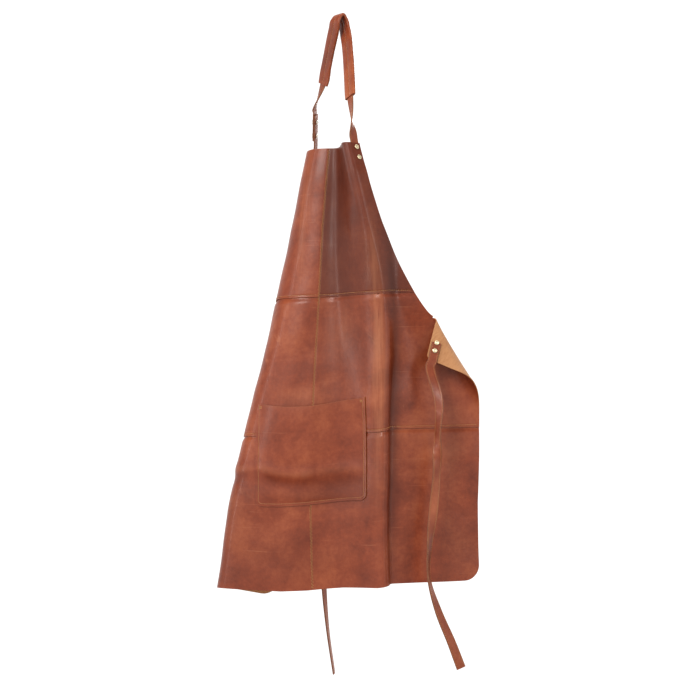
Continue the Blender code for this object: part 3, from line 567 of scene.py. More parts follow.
def suede(name, shade, fibre):
    """Flesh side: matt, fibrous and uneven."""
    f = Finish(name)
    cloud = f.noise(14.0, 5.0, 0.7, 0.9)
    nap = f.noise(700.0, 3.0, 0.7)
    drag = f.noise(1.0, 3.0, 0.6, 0.4, f.stretched((60.0, 420.0, 1.0), 24))
    tone = f.maths("ADD", f.maths("MULTIPLY", cloud, 0.5), f.maths("MULTIPLY", drag, 0.5))
    colour = f.ramp(tone, (0.34, shade), (0.64, fibre))
    colour = f.mix(0.35, colour, f.ramp(nap, (0.3, shade), (0.7, fibre)))
    bumped = f.bump(nap, 0.0004, 0.6)
    bumped = f.bump(drag, 0.0004, 0.5, bumped)
    return f.shine(Base_Color=colour, Roughness=0.93, Normal=bumped, Sheen_Weight=0.25,
                   Sheen_Roughness=0.5, Specular_IOR_Level=0.25)


def cut_edge(name, dark, light):
    """Cut thickness of the hide: fibres in layers, burnished here and there."""
    f = Finish(name)
    fibre = f.noise(480.0, 4.0, 0.7)
    worn = f.noise(60.0, 3.0, 0.6)
    colour = f.ramp(f.maths("ADD", f.maths("MULTIPLY", fibre, 0.5), f.maths("MULTIPLY", worn, 0.5)),
                    (0.35, dark), (0.65, light))
    return f.shine(Base_Color=colour, Roughness=0.72, Normal=f.bump(fibre, 0.0003, 0.5))


def thread_finish(name, dark, light):
    """Waxed thread with its twist."""
    f = Finish(name)
    twist = f.add("ShaderNodeTexWave", wave_type="BANDS", bands_direction="DIAGONAL")
    f.put(twist.inputs["Vector"], f.where)
    twist.inputs["Scale"].default_value = 620.0
    fuzz = f.noise(900.0, 3.0, 0.6)
    colour = f.mix(f.maths("MULTIPLY", fuzz, 0.8), light, dark)
    return f.shine(Base_Color=colour, Roughness=0.62, Normal=f.bump(twist.outputs["Fac"], 0.0002, 0.6))


def worn_metal(name, colour, dull, rough):
    """Plated metal with fine scratches and dulled patches."""
    f = Finish(name)
    patch = f.noise(260.0, 4.0, 0.6)
    fine = f.noise(1.0, 3.0, 0.6, 0.2, f.stretched((120.0, 2600.0, 1.0), 31))
    tint = f.mix(f.ramp(patch, (0.42, 0.0), (0.75, 0.8)), colour, dull)
    gloss = f.maths("ADD", rough, f.maths("MULTIPLY", fine, 0.16))
    return f.shine(Base_Color=tint, Roughness=gloss, Metallic=1.0, Normal=f.bump(fine, 0.00006, 0.5))


HIDE_DARK = (0.150, 0.028, 0.010)
HIDE_MIDDLE = (0.238, 0.050, 0.018)
HIDE_LIGHT = (0.340, 0.090, 0.034)
# Pale pulled leather colour, also used for painted highlight
HIDE_PULLED_AND_HIGHLIGHT = (0.530, 0.215, 0.105)
leather = grain_leather("waxed_hide", HIDE_DARK, HIDE_MIDDLE, HIDE_LIGHT, HIDE_PULLED_AND_HIGHLIGHT)
strap_hide = grain_leather("strap_hide", (0.150, 0.032, 0.013), (0.255, 0.062, 0.026), (0.360, 0.110, 0.048),
                           (0.520, 0.210, 0.100), 0.42)
pad_hide = grain_leather("pad_hide", (0.150, 0.030, 0.011), (0.250, 0.056, 0.021), (0.360, 0.104, 0.040),
                         (0.520, 0.200, 0.090), 0.40)
flesh = suede("flesh_side", (0.360, 0.165, 0.075), (0.560, 0.300, 0.150))
edge = cut_edge("cut_edge", (0.260, 0.085, 0.032), (0.560, 0.260, 0.110))
strap_edge = cut_edge("strap_edge", (0.120, 0.040, 0.020), (0.300, 0.120, 0.060))
thread = thread_finish("tan_thread", (0.300, 0.120, 0.042), (0.560, 0.290, 0.115))
brass = worn_metal("pale_brass_plate", (0.860, 0.740, 0.500), (0.640, 0.500, 0.300), 0.20)
nickel = worn_metal("nickel_plate", (0.740, 0.700, 0.640), (0.520, 0.480, 0.430), 0.22)


# ---------------------------------------------------------------- meshes


def mesh_object(name, points, faces, uvs, finishes, picks=None, facts=None, sharp=50.0):
    """A smooth-shaded mesh with flat coordinates in metres as its UVs, and named point values."""
    mesh = bpy.data.meshes.new(name)
    mesh.from_pydata(np.asarray(points).tolist(), [], [list(map(int, face)) for face in faces])
    for finish in finishes:
        mesh.materials.append(finish)
    corner_points = np.empty(len(mesh.loops), int)
    mesh.loops.foreach_get("vertex_index", corner_points)
    layer = mesh.uv_layers.new(name="flat")
    layer.data.foreach_set("uv", np.asarray(uvs, np.float32)[corner_points].ravel())
    mesh.polygons.foreach_set("use_smooth", np.ones(len(mesh.polygons), bool))
    if picks is not None:
        mesh.polygons.foreach_set("material_index", np.asarray(picks, np.int32))
    for key, values in (facts or {}).items():
        mesh.attributes.new(key, "FLOAT", "POINT").data.foreach_set("value", np.asarray(values, np.float32))
    mesh.update()
    mesh.set_sharp_from_angle(angle=math.radians(sharp))
    made = bpy.data.objects.new(name, mesh)
    bpy.context.scene.collection.objects.link(made)
    return made


def slab(name, u, v, low, high, finishes):
    """Leather between two heights over the hide, drawn on a grid of flat points."""
    rows, columns = u.shape
    flat_u, flat_v = u.ravel(), v.ravel()
    base = relief(flat_u, flat_v)
    front, normal = surface(flat_u, flat_v, base + high.ravel())
    back = front - normal * (high - low).ravel()[:, None]
    index = np.arange(rows * columns).reshape(rows, columns)
    ring = np.concatenate((index[0, :-1], index[:-1, -1], index[-1, :0:-1], index[:0:-1, 0]))
    inner_row = np.clip(ring // columns, 1, rows - 2)
    inner_column = np.clip(ring % columns, 1, columns - 2)
    outward = front[ring] - front[index[inner_row, inner_column]]
    outward /= np.linalg.norm(outward, axis=1)[:, None]
    middle = (front[ring] + back[ring]) / 2 + outward * 0.0002
    quads = np.stack((index[:-1, :-1], index[1:, :-1], index[1:, 1:], index[:-1, 1:]), axis=2).reshape(-1, 4)
    count = rows * columns
    rim = 2 * count + np.arange(len(ring))
    ring_next = np.roll(ring, -1)
    rim_next = np.roll(rim, -1)
    upper = np.stack((ring, ring_next, rim_next, rim), axis=1)
    lower = np.stack((rim, rim_next, ring_next + count, ring + count), axis=1)
    faces = np.concatenate((quads, quads[:, ::-1] + count, upper, lower))
    first = quads[0]
    turn = np.cross(front[first[1]] - front[first[0]], front[first[2]] - front[first[0]])
    if np.dot(turn, normal[first[0]]) < 0:
        faces = faces[:, ::-1]
    picks = np.repeat((0, 1, 2), (len(quads), len(quads), 2 * len(ring)))
    bend_u = relief(flat_u + REACH, flat_v) + relief(flat_u - REACH, flat_v) - 2 * base
    bend_v = relief(flat_u, flat_v + REACH) + relief(flat_u, flat_v - REACH) - 2 * base
    curved = -(bend_u + bend_v) / REACH**2
    near_edge = np.zeros((rows, columns))
    for k, worth in enumerate((1.0, 0.55, 0.2)):
        near_edge[k, :] = np.maximum(near_edge[k, :], worth)
        near_edge[-1 - k, :] = np.maximum(near_edge[-1 - k, :], worth)
        near_edge[:, -1 - k] = np.maximum(near_edge[:, -1 - k], worth)
    ridge = np.clip(curved / 55.0, 0.0, 1.0) + 0.25 * near_edge.ravel()
    # Painted shade: how hollow the hide bends here
    painted_hollow_shade = np.clip(-curved / 55.0, 0.0, 1.0)
    uvs = np.stack((flat_u, flat_v), axis=1)
    # Painted shade over the whole right panel of the bib
    panel_painted_shade = np.where((flat_u > 0) & (flat_v < UPPER_SEAM_V), BIB_RIGHT_PAINTED_SHADE, 0.0)

    def pad(values):
        return np.concatenate((values, values, values[ring]))

    # The dye values carry painted shade as well as darker patches, and the pulled values carry painted
    # highlight as well as pale pulled leather
    return mesh_object(name, np.concatenate((front, back, middle)), faces,
                       np.concatenate((uvs, uvs + 1.0, uvs[ring] + 2.0)), finishes, picks,
                       {"ridge": pad(np.clip(ridge, 0, 1)), "painted_hollow_shade": pad(painted_hollow_shade),
                        "dye_and_painted_shade": pad(spread(DARK_PATCH_AND_PAINTED_SHADE_PLACES, flat_u, flat_v, panel_painted_shade)),
                        "pulled_and_painted_highlight": pad(spread(PALE_PATCH_AND_PAINTED_HIGHLIGHT_PLACES, flat_u, flat_v))})


def panel_rows(low, bottom):
    """Heights of a panel's rows, closer together along its laps and round its corners."""
    rows = list(np.arange(low, bottom - 0.0005, 0.003)) + [bottom]
    rows += [bottom - 0.001 * k for k in range(1, 8)]
    rows += [low + 0.001 * k for k in range(1, 14)]
    if low < WAIST_V < bottom:
        rows += list(np.arange(FOLD_START[1] - 0.004, WAIST_V + WAIST_CORNER_RADIUS, 0.0008))
    if bottom == LENGTH:
        rows += [bottom - HEM_CORNER_RADIUS * (1 - math.sin(math.radians(a))) for a in range(5, 90, 5)]
    kept = []
    for v in sorted(rows):
        if not kept or v - kept[-1] > 0.0003:
            kept.append(v)
    kept[-1] = bottom
    return np.array(kept)


def tucked(v, top):
    """Lower panels start behind the panel above."""
    return -(HIDE + 2 * FIT_GAP) * (1.0 - smooth(v - top - 0.001, LAP))


def stitched_in(v, u, bottom):
    """Shallow groove that the stitches pull into the leather along the lap and centre seams."""
    groove = np.zeros_like(v)
    if bottom < LENGTH:
        groove -= 0.00040 * np.exp(-(((v - (bottom - SEAM_ROW_BACK)) / 0.0013) ** 2))
    return groove - 0.00050 * np.exp(-((u / 0.0022) ** 2))


for part, top, bottom in (("bib", 0.0, UPPER_SEAM_V), ("waist", UPPER_SEAM_V, LOWER_SEAM_V),
                          ("skirt", LOWER_SEAM_V, LENGTH)):
    for word, side in (("left", -1), ("right", 1)):
        low = top - LAP if top > 0 else 0.0
        rows = panel_rows(low, bottom)
        widths = half_width(rows)
        columns = int(widths.max() / 0.0024)
        share = np.linspace(0.0, 1.0, columns)
        share = np.unique(np.concatenate((share, np.array((0.0006, 0.0015, 0.0030, 0.0045)) / widths.max(),
                                          1 - np.array((0.0008, 0.0018)) / widths.max())))
        inner = FIT_GAP / 2
        u = side * (inner + (widths[:, None] - inner) * share[None, :])
        v = np.repeat(rows[:, None], len(share), axis=1)
        high = stitched_in(v, u, bottom) + (tucked(v, top) if top > 0 else 0.0)
        name = f"{part}_panel_{word}"
        piece = slab(name + "_hide", u, v, high - HIDE, high, (leather, flesh, edge))
        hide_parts(name)
        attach(piece, "apron")


def pocket_lift(u, v):
    """Height of the pocket's back over the hide: stitched down at the sides and bottom."""
    across = np.clip(1.0 - (u / (POCKET_HALF_WIDTH - POCKET_SEAM)) ** 2, 0.0, 1.0)
    depth = np.clip((POCKET_BOTTOM_V - POCKET_SEAM - v) / (POCKET_BOTTOM_V - POCKET_TOP_V), 0.0, 1.0)
    return POCKET_GAP + POCKET_BULGE * across * (depth * (2 - depth)) ** 0.8


def pocket_turned(u, v):
    """The pocket is set on with a slight tilt about its middle."""
    middle = (POCKET_TOP_V + POCKET_BOTTOM_V) / 2
    dv = v - middle
    return (u * math.cos(POCKET_TILT) - dv * math.sin(POCKET_TILT),
            middle + u * math.sin(POCKET_TILT) + dv * math.cos(POCKET_TILT))


def pocket_half(v):
    past = np.clip(v - (POCKET_BOTTOM_V - POCKET_CORNER), 0.0, POCKET_CORNER)
    return POCKET_HALF_WIDTH - (POCKET_CORNER - np.sqrt(POCKET_CORNER**2 - past**2))


rows = np.concatenate((np.linspace(POCKET_TOP_V, POCKET_BOTTOM_V - POCKET_CORNER, 70),
                       POCKET_BOTTOM_V - POCKET_CORNER * (1 - np.sin(np.radians(np.arange(9, 91, 9))))))
share = np.linspace(-1, 1, 89)
share = np.sign(share) * np.abs(share) ** 0.9
local_u = pocket_half(rows)[:, None] * share[None, :]
fall = 1 - smooth(rows - POCKET_TOP_V, 0.09)
local_v = rows[:, None] + MOUTH_DIP * fall[:, None] * (1 - share[None, :] ** 2)
u, v = pocket_turned(local_u, local_v)
gap = pocket_lift(u, v)
sewn = -0.00035 * np.exp(-(((POCKET_HALF_WIDTH - np.abs(local_u) - 0.005) / 0.0015) ** 2))
pocket = slab("pocket_hide_piece", u, v, gap, gap + HIDE + sewn, (leather, flesh, edge))
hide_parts("pocket")
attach(pocket, "apron")


# ---------------------------------------------------------------- stitches


def stitch_bodies(starts, ends, normals, radius=THREAD, sink=0.0003, rise=0.0005):
    """Points, faces and UVs of short arched threads, each from one needle hole to the next."""
    starts, ends, normals = (np.asarray(x, float) for x in (starts, ends, normals))
    shares = np.array((0.0, 0.18, 0.5, 0.82, 1.0))
    heights = np.array((-sink, rise * 0.55, rise, rise * 0.55, -sink))
    sizes = np.array((0.6, 1.0, 1.05, 1.0, 0.6)) * radius
    sides = 6
    along = ends - starts
    lengths = np.linalg.norm(along, axis=1)
    along = along / lengths[:, None]
    across = np.cross(normals, along)
    across /= np.linalg.norm(across, axis=1)[:, None]
    up = np.cross(along, across)
    angles = np.arange(sides) * 2 * math.pi / sides
    rings = (starts[:, None, None, :] + (ends - starts)[:, None, None, :] * shares[None, :, None, None]
             + up[:, None, None, :] * heights[None, :, None, None]
             + (across[:, None, None, :] * np.cos(angles)[None, None, :, None]
                + up[:, None, None, :] * np.sin(angles)[None, None, :, None]) * sizes[None, :, None, None])
    count = len(starts)
    base = (np.arange(count) * len(shares) * sides)[:, None, None]
    k = np.arange(sides)
    n = (k + 1) % sides
    levels = (np.arange(len(shares) - 1) * sides)[:, None]
    side_faces = np.stack((levels + k, levels + n, levels + sides + n, levels + sides + k), axis=2)
    side_faces = (base[..., None] + side_faces[None]).reshape(-1, 4)
    caps = []
    last = (len(shares) - 1) * sides
    for number in range(count):
        start = number * len(shares) * sides
        caps.append(list(start + k[::-1]))
        caps.append(list(start + last + k))
    ring_uv = np.stack(np.meshgrid(shares * 0.004, angles * radius, indexing="ij"), axis=2)
    uvs = np.broadcast_to(ring_uv[None], (count, len(shares), sides, 2)).reshape(-1, 2).copy()
    uvs[:, 0] += np.repeat(np.arange(count) * 0.013, len(shares) * sides)
    return rings.reshape(-1, 3), [list(face) for face in side_faces] + caps, uvs


def thread_object(name, groups, body):
    """One object of stitches from several groups of (starts, ends, normals)."""
    points, faces, uvs = [], [], []
    offset = 0
    for group in groups:
        p, f, t = stitch_bodies(*group)
        points.append(p)
        uvs.append(t)
        faces += [[i + offset for i in face] for face in f]
        offset += len(p)
    made = mesh_object(name, np.concatenate(points), faces, np.concatenate(uvs), (thread,))
    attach(made, body)
    return made


def flat_run(points, pitch, lift, cover=0.80):
    """Stitches along a flat path of (u, v) points, lifted by lift(u, v)."""
    points = np.asarray(points, float)
    lengths = run_lengths(points)
    count = max(int(lengths[-1] / pitch), 1)
    marks = np.linspace(0.0, lengths[-1], count + 1)
    starts, ends = marks[:-1], marks[:-1] + (lengths[-1] / count) * cover
    placed = []
    for marks in (starts, ends):
        u = np.interp(marks, lengths, points[:, 0])
        v = np.interp(marks, lengths, points[:, 1])
        placed.append(surface(u, v, relief(u, v) + lift(u, v)))
    return placed[0][0], placed[1][0], placed[0][1]


def on_hide(u, v):
    """Threads of the seams lie a little sunk in the leather."""
    return np.full_like(u, -THREAD_SUNK)


def on_pocket(u, v):
    return pocket_lift(u, v) + HIDE - THREAD_SUNK


groups = []
for seam_v in (UPPER_SEAM_V, LOWER_SEAM_V):
    row_v = seam_v - SEAM_ROW_BACK
    reach = float(half_width(row_v)) - 0.004
    line = [(u, row_v) for u in np.linspace(-reach, reach, 240)]
    groups.append(flat_run(line, SEAM_STITCH, on_hide))
thread_object("lap_seam_stitches", groups, "apron")

count = int(LENGTH / ZIGZAG_PITCH)
v = np.linspace(0.003, LENGTH - 0.003, count)
u = ZIGZAG_REACH * np.where(np.arange(count) % 2 == 0, 1.0, -1.0)
place, normal = surface(u, v, relief(u, v) - 0.0002)
thread_object("centre_seam_zigzag", [(place[:-1], place[1:], normal[:-1])], "apron")

side_v = np.linspace(POCKET_TOP_V + 0.004, POCKET_BOTTOM_V - POCKET_CORNER, 60)
inset = 0.005
corner = POCKET_CORNER - inset
half = POCKET_HALF_WIDTH - inset
loop = [(-half, t) for t in side_v]
loop += [(-half + corner * (1 - math.cos(a)), POCKET_BOTTOM_V - POCKET_CORNER + corner * math.sin(a))
         for a in np.radians(np.arange(10, 91, 10))]
loop += [(t, POCKET_BOTTOM_V - inset) for t in np.linspace(-half + corner, half - corner, 60)[1:-1]]
loop += [(half - corner * (1 - math.cos(a)), POCKET_BOTTOM_V - POCKET_CORNER + corner * math.sin(a))
         for a in np.radians(np.arange(90, 9, -10))]
loop += [(half, t) for t in side_v[::-1]]
loop = np.array(loop)
turned_loop = np.stack(pocket_turned(loop[:, 0], loop[:, 1]), axis=1)
tacks = []
for side in (-1, 1):
    for row in (0.004, 0.0058, 0.0076):
        ends = [pocket_turned(np.array([side * (half - reach)]), np.array([POCKET_TOP_V + row + 0.0015]))
                for reach in (-0.001, 0.006)]
        spots = [surface(u, v, relief(u, v) + on_pocket(u, v)) for u, v in ends]
        tacks.append((spots[0][0], spots[1][0], spots[0][1]))
thread_object("pocket_stitches", [flat_run(turned_loop, STRAP_STITCH, on_pocket)] + tacks, "apron")


# ---------------------------------------------------------------- straps


def through(points, count):
    """Evenly numbered places on the smooth curve through given values."""
    values = np.asarray(points, float)
    padded = np.vstack((2 * values[0] - values[1], values, 2 * values[-1] - values[-2]))
    made = []
    for k in range(count):
        t = k * (len(values) - 1) / (count - 1)
        i = min(int(t), len(values) - 2)
        f = t - i
        a, b, c, d = padded[i : i + 4]
        made.append(0.5 * (2 * b + (c - a) * f + (2 * a - 5 * b + 4 * c - d) * f * f
                           + (3 * b - a - 3 * c + d) * f**3))
    return np.array(made)


def ribbon_frames(stations, count):
    """Centres, width directions and face directions along a strap, evenly spaced."""
    path = through(stations, count * 4)
    lengths = run_lengths(path[:, :3])
    marks = np.linspace(0.0, lengths[-1], count)
    path = np.stack([np.interp(marks, lengths, path[:, k]) for k in range(6)], axis=1)
    centres = path[:, :3]
    tangents = np.gradient(centres, axis=0)
    tangents /= np.linalg.norm(tangents, axis=1)[:, None]
    width = path[:, 3:]
    width = width - tangents * np.sum(width * tangents, axis=1)[:, None]
    width /= np.linalg.norm(width, axis=1)[:, None]
    return centres, width, np.cross(tangents, width)


def strap_section(width, thickness, groove_at, groove, crown):
    """Half of a strap's outline as (across, up), from its left edge over its face to its right."""
    w, t = width / 2, thickness / 2
    left = [(-w, 0.0), (-w + 0.0002, t * 0.62), (-w + 0.0007, t), (-groove_at - 0.0012, t + crown * 0.3),
            (-groove_at, t - groove), (-groove_at + 0.0012, t + crown * 0.5), (-groove_at * 0.5, t + crown)]
    return left + [(0.0, t + crown)] + [(-a, b) for a, b in left[::-1]]


def swept(name, frames, half_section, finishes, stitch_at, pitch, more=()):
    """A strap swept along frames, with its edges, cut ends and rows of stitches on both faces."""
    centres, widths, faces = frames
    ring = list(half_section) + [(a, -b) for a, b in half_section[-2:0:-1]]
    ring = np.array(ring)
    sides = len(ring)
    grid = (centres[:, None, :] + widths[:, None, :] * ring[None, :, 0, None]
            + faces[:, None, :] * ring[None, :, 1, None])
    rows = len(centres)
    k = np.arange(sides)
    n = (k + 1) % sides
    levels = (np.arange(rows - 1) * sides)[:, None]
    quads = np.stack((levels + k, levels + sides + k, levels + sides + n, levels + n), axis=2).reshape(-1, 4)
    half = len(half_section)
    edge_side = np.isin(k, (0, 1, half - 3, half - 2, half - 1, half, sides - 2, sides - 1))
    picks = list(np.where(np.tile(edge_side, rows - 1), 1, 0)) + [1, 1]
    polygons = [list(q) for q in quads] + [list(k), list((rows - 1) * sides + k[::-1])]
    lengths = run_lengths(centres)
    around = run_lengths(ring)
    uvs = np.stack(np.meshgrid(lengths, around, indexing="ij"), axis=2).reshape(-1, 2)
    rim = np.abs(ring[:, 0]) > half_section[2][0] * -1 - 0.0006
    ridge = np.tile(np.where(rim, 0.45, 0.0), rows)
    # Painted shade along the stitch grooves
    groove_line = np.isclose(np.abs(ring[:, 0]), stitch_at[-1])
    painted_hollow_shade = np.tile(np.where(groove_line, 0.9, 0.0), rows)
    points = grid.reshape(-1, 3)
    offset = len(points)
    point_list, uv_list = [points], [uvs]
    top = max(b for a, b in half_section)
    for side in (1, -1):
        for across in stitch_at:
            height = np.interp(across, [a for a, b in half_section], [b for a, b in half_section])
            count = int(lengths[-1] / pitch)
            marks = np.linspace(0.004, lengths[-1] - 0.004, count)
            step = marks[1] - marks[0]
            placed = []
            for marks_at in (marks[:-1], marks[:-1] + step * 0.78):
                at = [np.stack([np.interp(marks_at, lengths, source[:, d]) for d in range(3)], axis=1)
                      for source in (centres, widths, faces)]
                placed.append(at[0] + at[1] * across + at[2] * side * height)
                normal = at[2] * side
            p, f, t = stitch_bodies(placed[0], placed[1], normal, THREAD * 0.85, 0.0004, 0.0003)
            polygons += [[i + offset for i in face] for face in f]
            picks += [2] * len(f)
            point_list.append(p)
            uv_list.append(t)
            offset += len(p)
    ridge = np.concatenate((ridge, np.zeros(offset - len(ridge))))
    painted_hollow_shade = np.concatenate((painted_hollow_shade, np.zeros(offset - len(painted_hollow_shade))))
    return mesh_object(name, np.concatenate(point_list), polygons, np.concatenate(uv_list), finishes, picks,
                       {"ridge": ridge, "painted_hollow_shade": painted_hollow_shade}, 62.0)


def hide_frame(u, v, depth):
    """Place under the grain side and the grain-side normal at one flat point."""
    place, normal = surface(np.array([u]), np.array([v]), np.array([-depth]))
    return place[0], normal[0]


def flesh_strip(start, end, depth, count=8):
    """Frames of a strap end that lies flat on the flesh side between two flat points."""
    spots = [hide_frame(start[0] + (end[0] - start[0]) * k / (count - 1),
                        start[1] + (end[1] - start[1]) * k / (count - 1), depth) for k in range(count)]
    centres = np.array([spot[0] for spot in spots])
    faces = np.array([spot[1] for spot in spots])
    widths = np.cross(np.gradient(centres, axis=0), faces)
    widths /= np.linalg.norm(widths, axis=1)[:, None]
    return centres, widths, faces


def past_end(strip, gap):
    """Place, run direction and width direction a little past the last frame of a strip."""
    run = strip[0][-1] - strip[0][-2]
    run /= np.linalg.norm(run)
    return strip[0][-1] + run * gap, run, strip[1][-1]


def along_strip(strip, distance):
    """Place and face direction at a distance back from a strip's last frame."""
    centres, _, faces = strip
    lengths = np.linalg.norm(np.diff(centres, axis=0), axis=1)
    reach = np.concatenate(([0.0], np.cumsum(lengths[::-1])))
    place = [np.interp(distance, reach, centres[::-1][:, k]) for k in range(3)]
    face = [np.interp(distance, reach, faces[::-1][:, k]) for k in range(3)]
    return Vector(place), Vector(face).normalized()


def level_width(degrees):
    return np.array((math.cos(math.radians(degrees)), math.sin(math.radians(degrees)), 0.0))


def station(place, width):
    return (*place, *width)


DEPTH = HIDE + END_GAP + STRAP_THICKNESS / 2
strips = {}
for word, side in (("left", -1), ("right", 1)):
    low, high = NECK_END_FLAT
    strips["neck_" + word] = flesh_strip((side * low[0], low[1]), (side * high[0], high[1]), DEPTH)
    near, far = WAIST_END_FLAT
    strips["waist_" + word] = flesh_strip((side * near[0], near[1]), (side * far[0], far[1]), DEPTH)

strap_half = strap_section(STRAP_WIDTH, STRAP_THICKNESS, 0.0067, 0.00018, 0.00008)
strap_look = (strap_hide, strap_edge, thread)
STRAP_ROWS = (-0.0067, 0.0067)

# Neck tab, riveted to the bib's left corner
strip = strips["neck_left"]
foot, foot_run, foot_width = past_end(strip, HINGE_GAP)
bend = foot + foot_run * TAB_RISE
run = np.array(TAB_TOP) - bend
length = np.linalg.norm(run)
run /= length
tab_width = foot_width - run * np.dot(foot_width, run)
tab_width /= np.linalg.norm(tab_width)
face = np.cross(run, tab_width)
face *= -np.sign(face[0])
stations = [station(strip[0][k], strip[1][k]) for k in (0, 4, 7)]
stations += [station(foot + foot_run * TAB_RISE / 3, foot_width)]
stations += [station(bend + run * length * k / 4, tab_width) for k in range(5)]
tab = swept("neck_tab_strap", ribbon_frames(stations, 90), strap_half, strap_look, STRAP_ROWS, STRAP_STITCH)
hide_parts("neck_tab", "neck_tab_end")
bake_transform(tab)

# Neck strap from the tab over the hook to the bib's right corner, in its pad
lie = face * (STRAP_THICKNESS + FIT_GAP)
low_stations = [station(bend + run * length * share + lie, tab_width) for share in LAP_SHARES]
pad_stations = [station(np.array(place), level_width(heading)) for place, heading in PAD_ROUTE]
strip = strips["neck_right"]
right_foot, right_run, right_width = past_end(strip, HINGE_GAP)
flip = -np.sign(right_width[1])
high_stations = [station(np.array(place), level_width(heading)) for place, heading in RIGHT_TWIST]
high_stations += [station(right_foot + right_run * 0.008, right_width * flip)]
high_stations += [station(strip[0][k], strip[1][k] * flip) for k in (7, 4, 0)]
route = low_stations + pad_stations + high_stations
neck_frames = ribbon_frames(route, 260)
neck = swept("neck_strap_leather", neck_frames, strap_half, strap_look, STRAP_ROWS, STRAP_STITCH)
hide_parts("neck_strap", "neck_strap_end")
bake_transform(neck)

pad_ends = [station(low_stations[-1][:3], low_stations[-1][3:])] + pad_stations + [high_stations[0]]
pad_frames = ribbon_frames(pad_ends, 190)
lengths = run_lengths(pad_frames[0])
first = np.argmin(np.linalg.norm(pad_frames[0] - np.array(PAD_ROUTE[0][0]), axis=1))
last = np.argmin(np.linalg.norm(pad_frames[0] - np.array(PAD_ROUTE[-1][0]), axis=1))
pad_frames = [values[first : last + 1] for values in pad_frames]
pad_half = [(-0.0145, 0.0), (-0.01435, 0.0014), (-0.0138, 0.0023), (-0.0120, 0.00285), (-0.0080, 0.0031),
            (-0.0030, 0.00305), (-0.0010, 0.0028), (0.0, 0.0024)]
pad_half += [(-a, b) for a, b in pad_half[-2::-1]]
pad = swept("neck_pad_cover", pad_frames, pad_half, (pad_hide, pad_hide, thread), (0.0,), STRAP_STITCH)
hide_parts("neck_pad")
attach(pad, "neck_loop")

# Waist ties
for word, hang, body in (("right", TIE_RIGHT, "tie_right"), ("left", TIE_LEFT, "tie_left")):
    strip = strips["waist_" + word]
    start, _, width = past_end(strip, TIE_LEAD if word == "left" else HINGE_GAP + TIE_LEAD)
    stations = [station(strip[0][k], strip[1][k]) for k in (0, 3, 7)] + [station(start, width)]
    stations += [station(np.array(place), np.array(direction)) for place, direction in hang]
    frames = ribbon_frames(stations, 300)
    tie = swept(f"waist_tie_{word}_strap", frames, strap_half, strap_look, STRAP_ROWS, STRAP_STITCH)
    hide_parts(f"waist_tie_{word}", f"waist_tie_{word}_end")
    if word == "right":
        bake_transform(tie)
    else:
        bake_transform(tie)


# ---------------------------------------------------------------- rivets and studs


def turned_piece(name, node, profile, place, axis, finish, body, sides=32):
    """A turned metal piece from a profile of (radius, height) points, closed on its axis."""
    rotation = axis.to_track_quat("Z", "Y").to_matrix()
    points, faces, uvs = [], [], []
    rings = []
    for radius, height in profile:
        if radius < 1e-7:
            rings.append([len(points)])
            points.append((0.0, 0.0, height))
            uvs.append((0.0, 0.0))
            continue
        rings.append(list(range(len(points), len(points) + sides)))
        for k in range(sides):
            a = 2 * math.pi * k / sides
            points.append((radius * math.cos(a), radius * math.sin(a), height))
            uvs.append((radius * math.cos(a), radius * math.sin(a) + height))
    for lower, upper in zip(rings, rings[1:]):
        for k in range(sides):
            n = (k + 1) % sides
            corners = [lower[k % len(lower)], upper[k % len(upper)]]
            corners = list(dict.fromkeys(corners + [upper[n % len(upper)], lower[n % len(lower)]]))
            if len(corners) > 2:
                faces.append(corners)
    world = [tuple(place + rotation @ Vector(point)) for point in points]
    made = mesh_object(name, world, faces, uvs, (finish,), sharp=38.0)
    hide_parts(node)
    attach(made, body)
    return made


def rivet_profile(half, sign):
    """Flat cap with a rolled rim and a small dimple, and a stub of post behind it."""
    r, h = RIVET_HEAD_RADIUS, RIVET_HEAD_HEIGHT
    shape = [(0.0, half + h * 0.72), (r * 0.16, half + h * 0.74), (r * 0.27, half + h * 0.96),
             (r * 0.40, half + h), (r * 0.66, half + h * 0.97), (r * 0.84, half + h * 0.84),
             (r * 0.96, half + h * 0.55), (r, half + h * 0.25), (r * 0.97, half), (0.0015, half)]
    if sign > 0:
        shape += [(0.0015, -half + 0.0004), (0.0, -half + 0.0004)]
    else:
        shape += [(0.0, half)]
    return [(radius, height * sign) for radius, height in shape]


for corner, body in (("bib", "neck"), ("waist", "waist")):
    backs = NECK_RIVET_BACK if corner == "bib" else WAIST_RIVET_BACK
    for word in ("left", "right"):
        stack = HIDE + END_GAP + STRAP_THICKNESS
        for number, distance in enumerate(backs):
            centre, face_out = along_strip(strips[f"{body}_{word}"], distance)
            middle = centre + face_out * (stack / 2 - STRAP_THICKNESS / 2)
            name = f"{corner}_{word}_rivet_{number + 1}"
            for suffix, sign in (("_cap", 1), ("_back_cap", -1)):
                profile = rivet_profile(stack / 2 + HEAD_GAP, sign)
                turned_piece(name + suffix + "_metal", name + suffix, profile, middle, face_out, brass,
                             "apron")

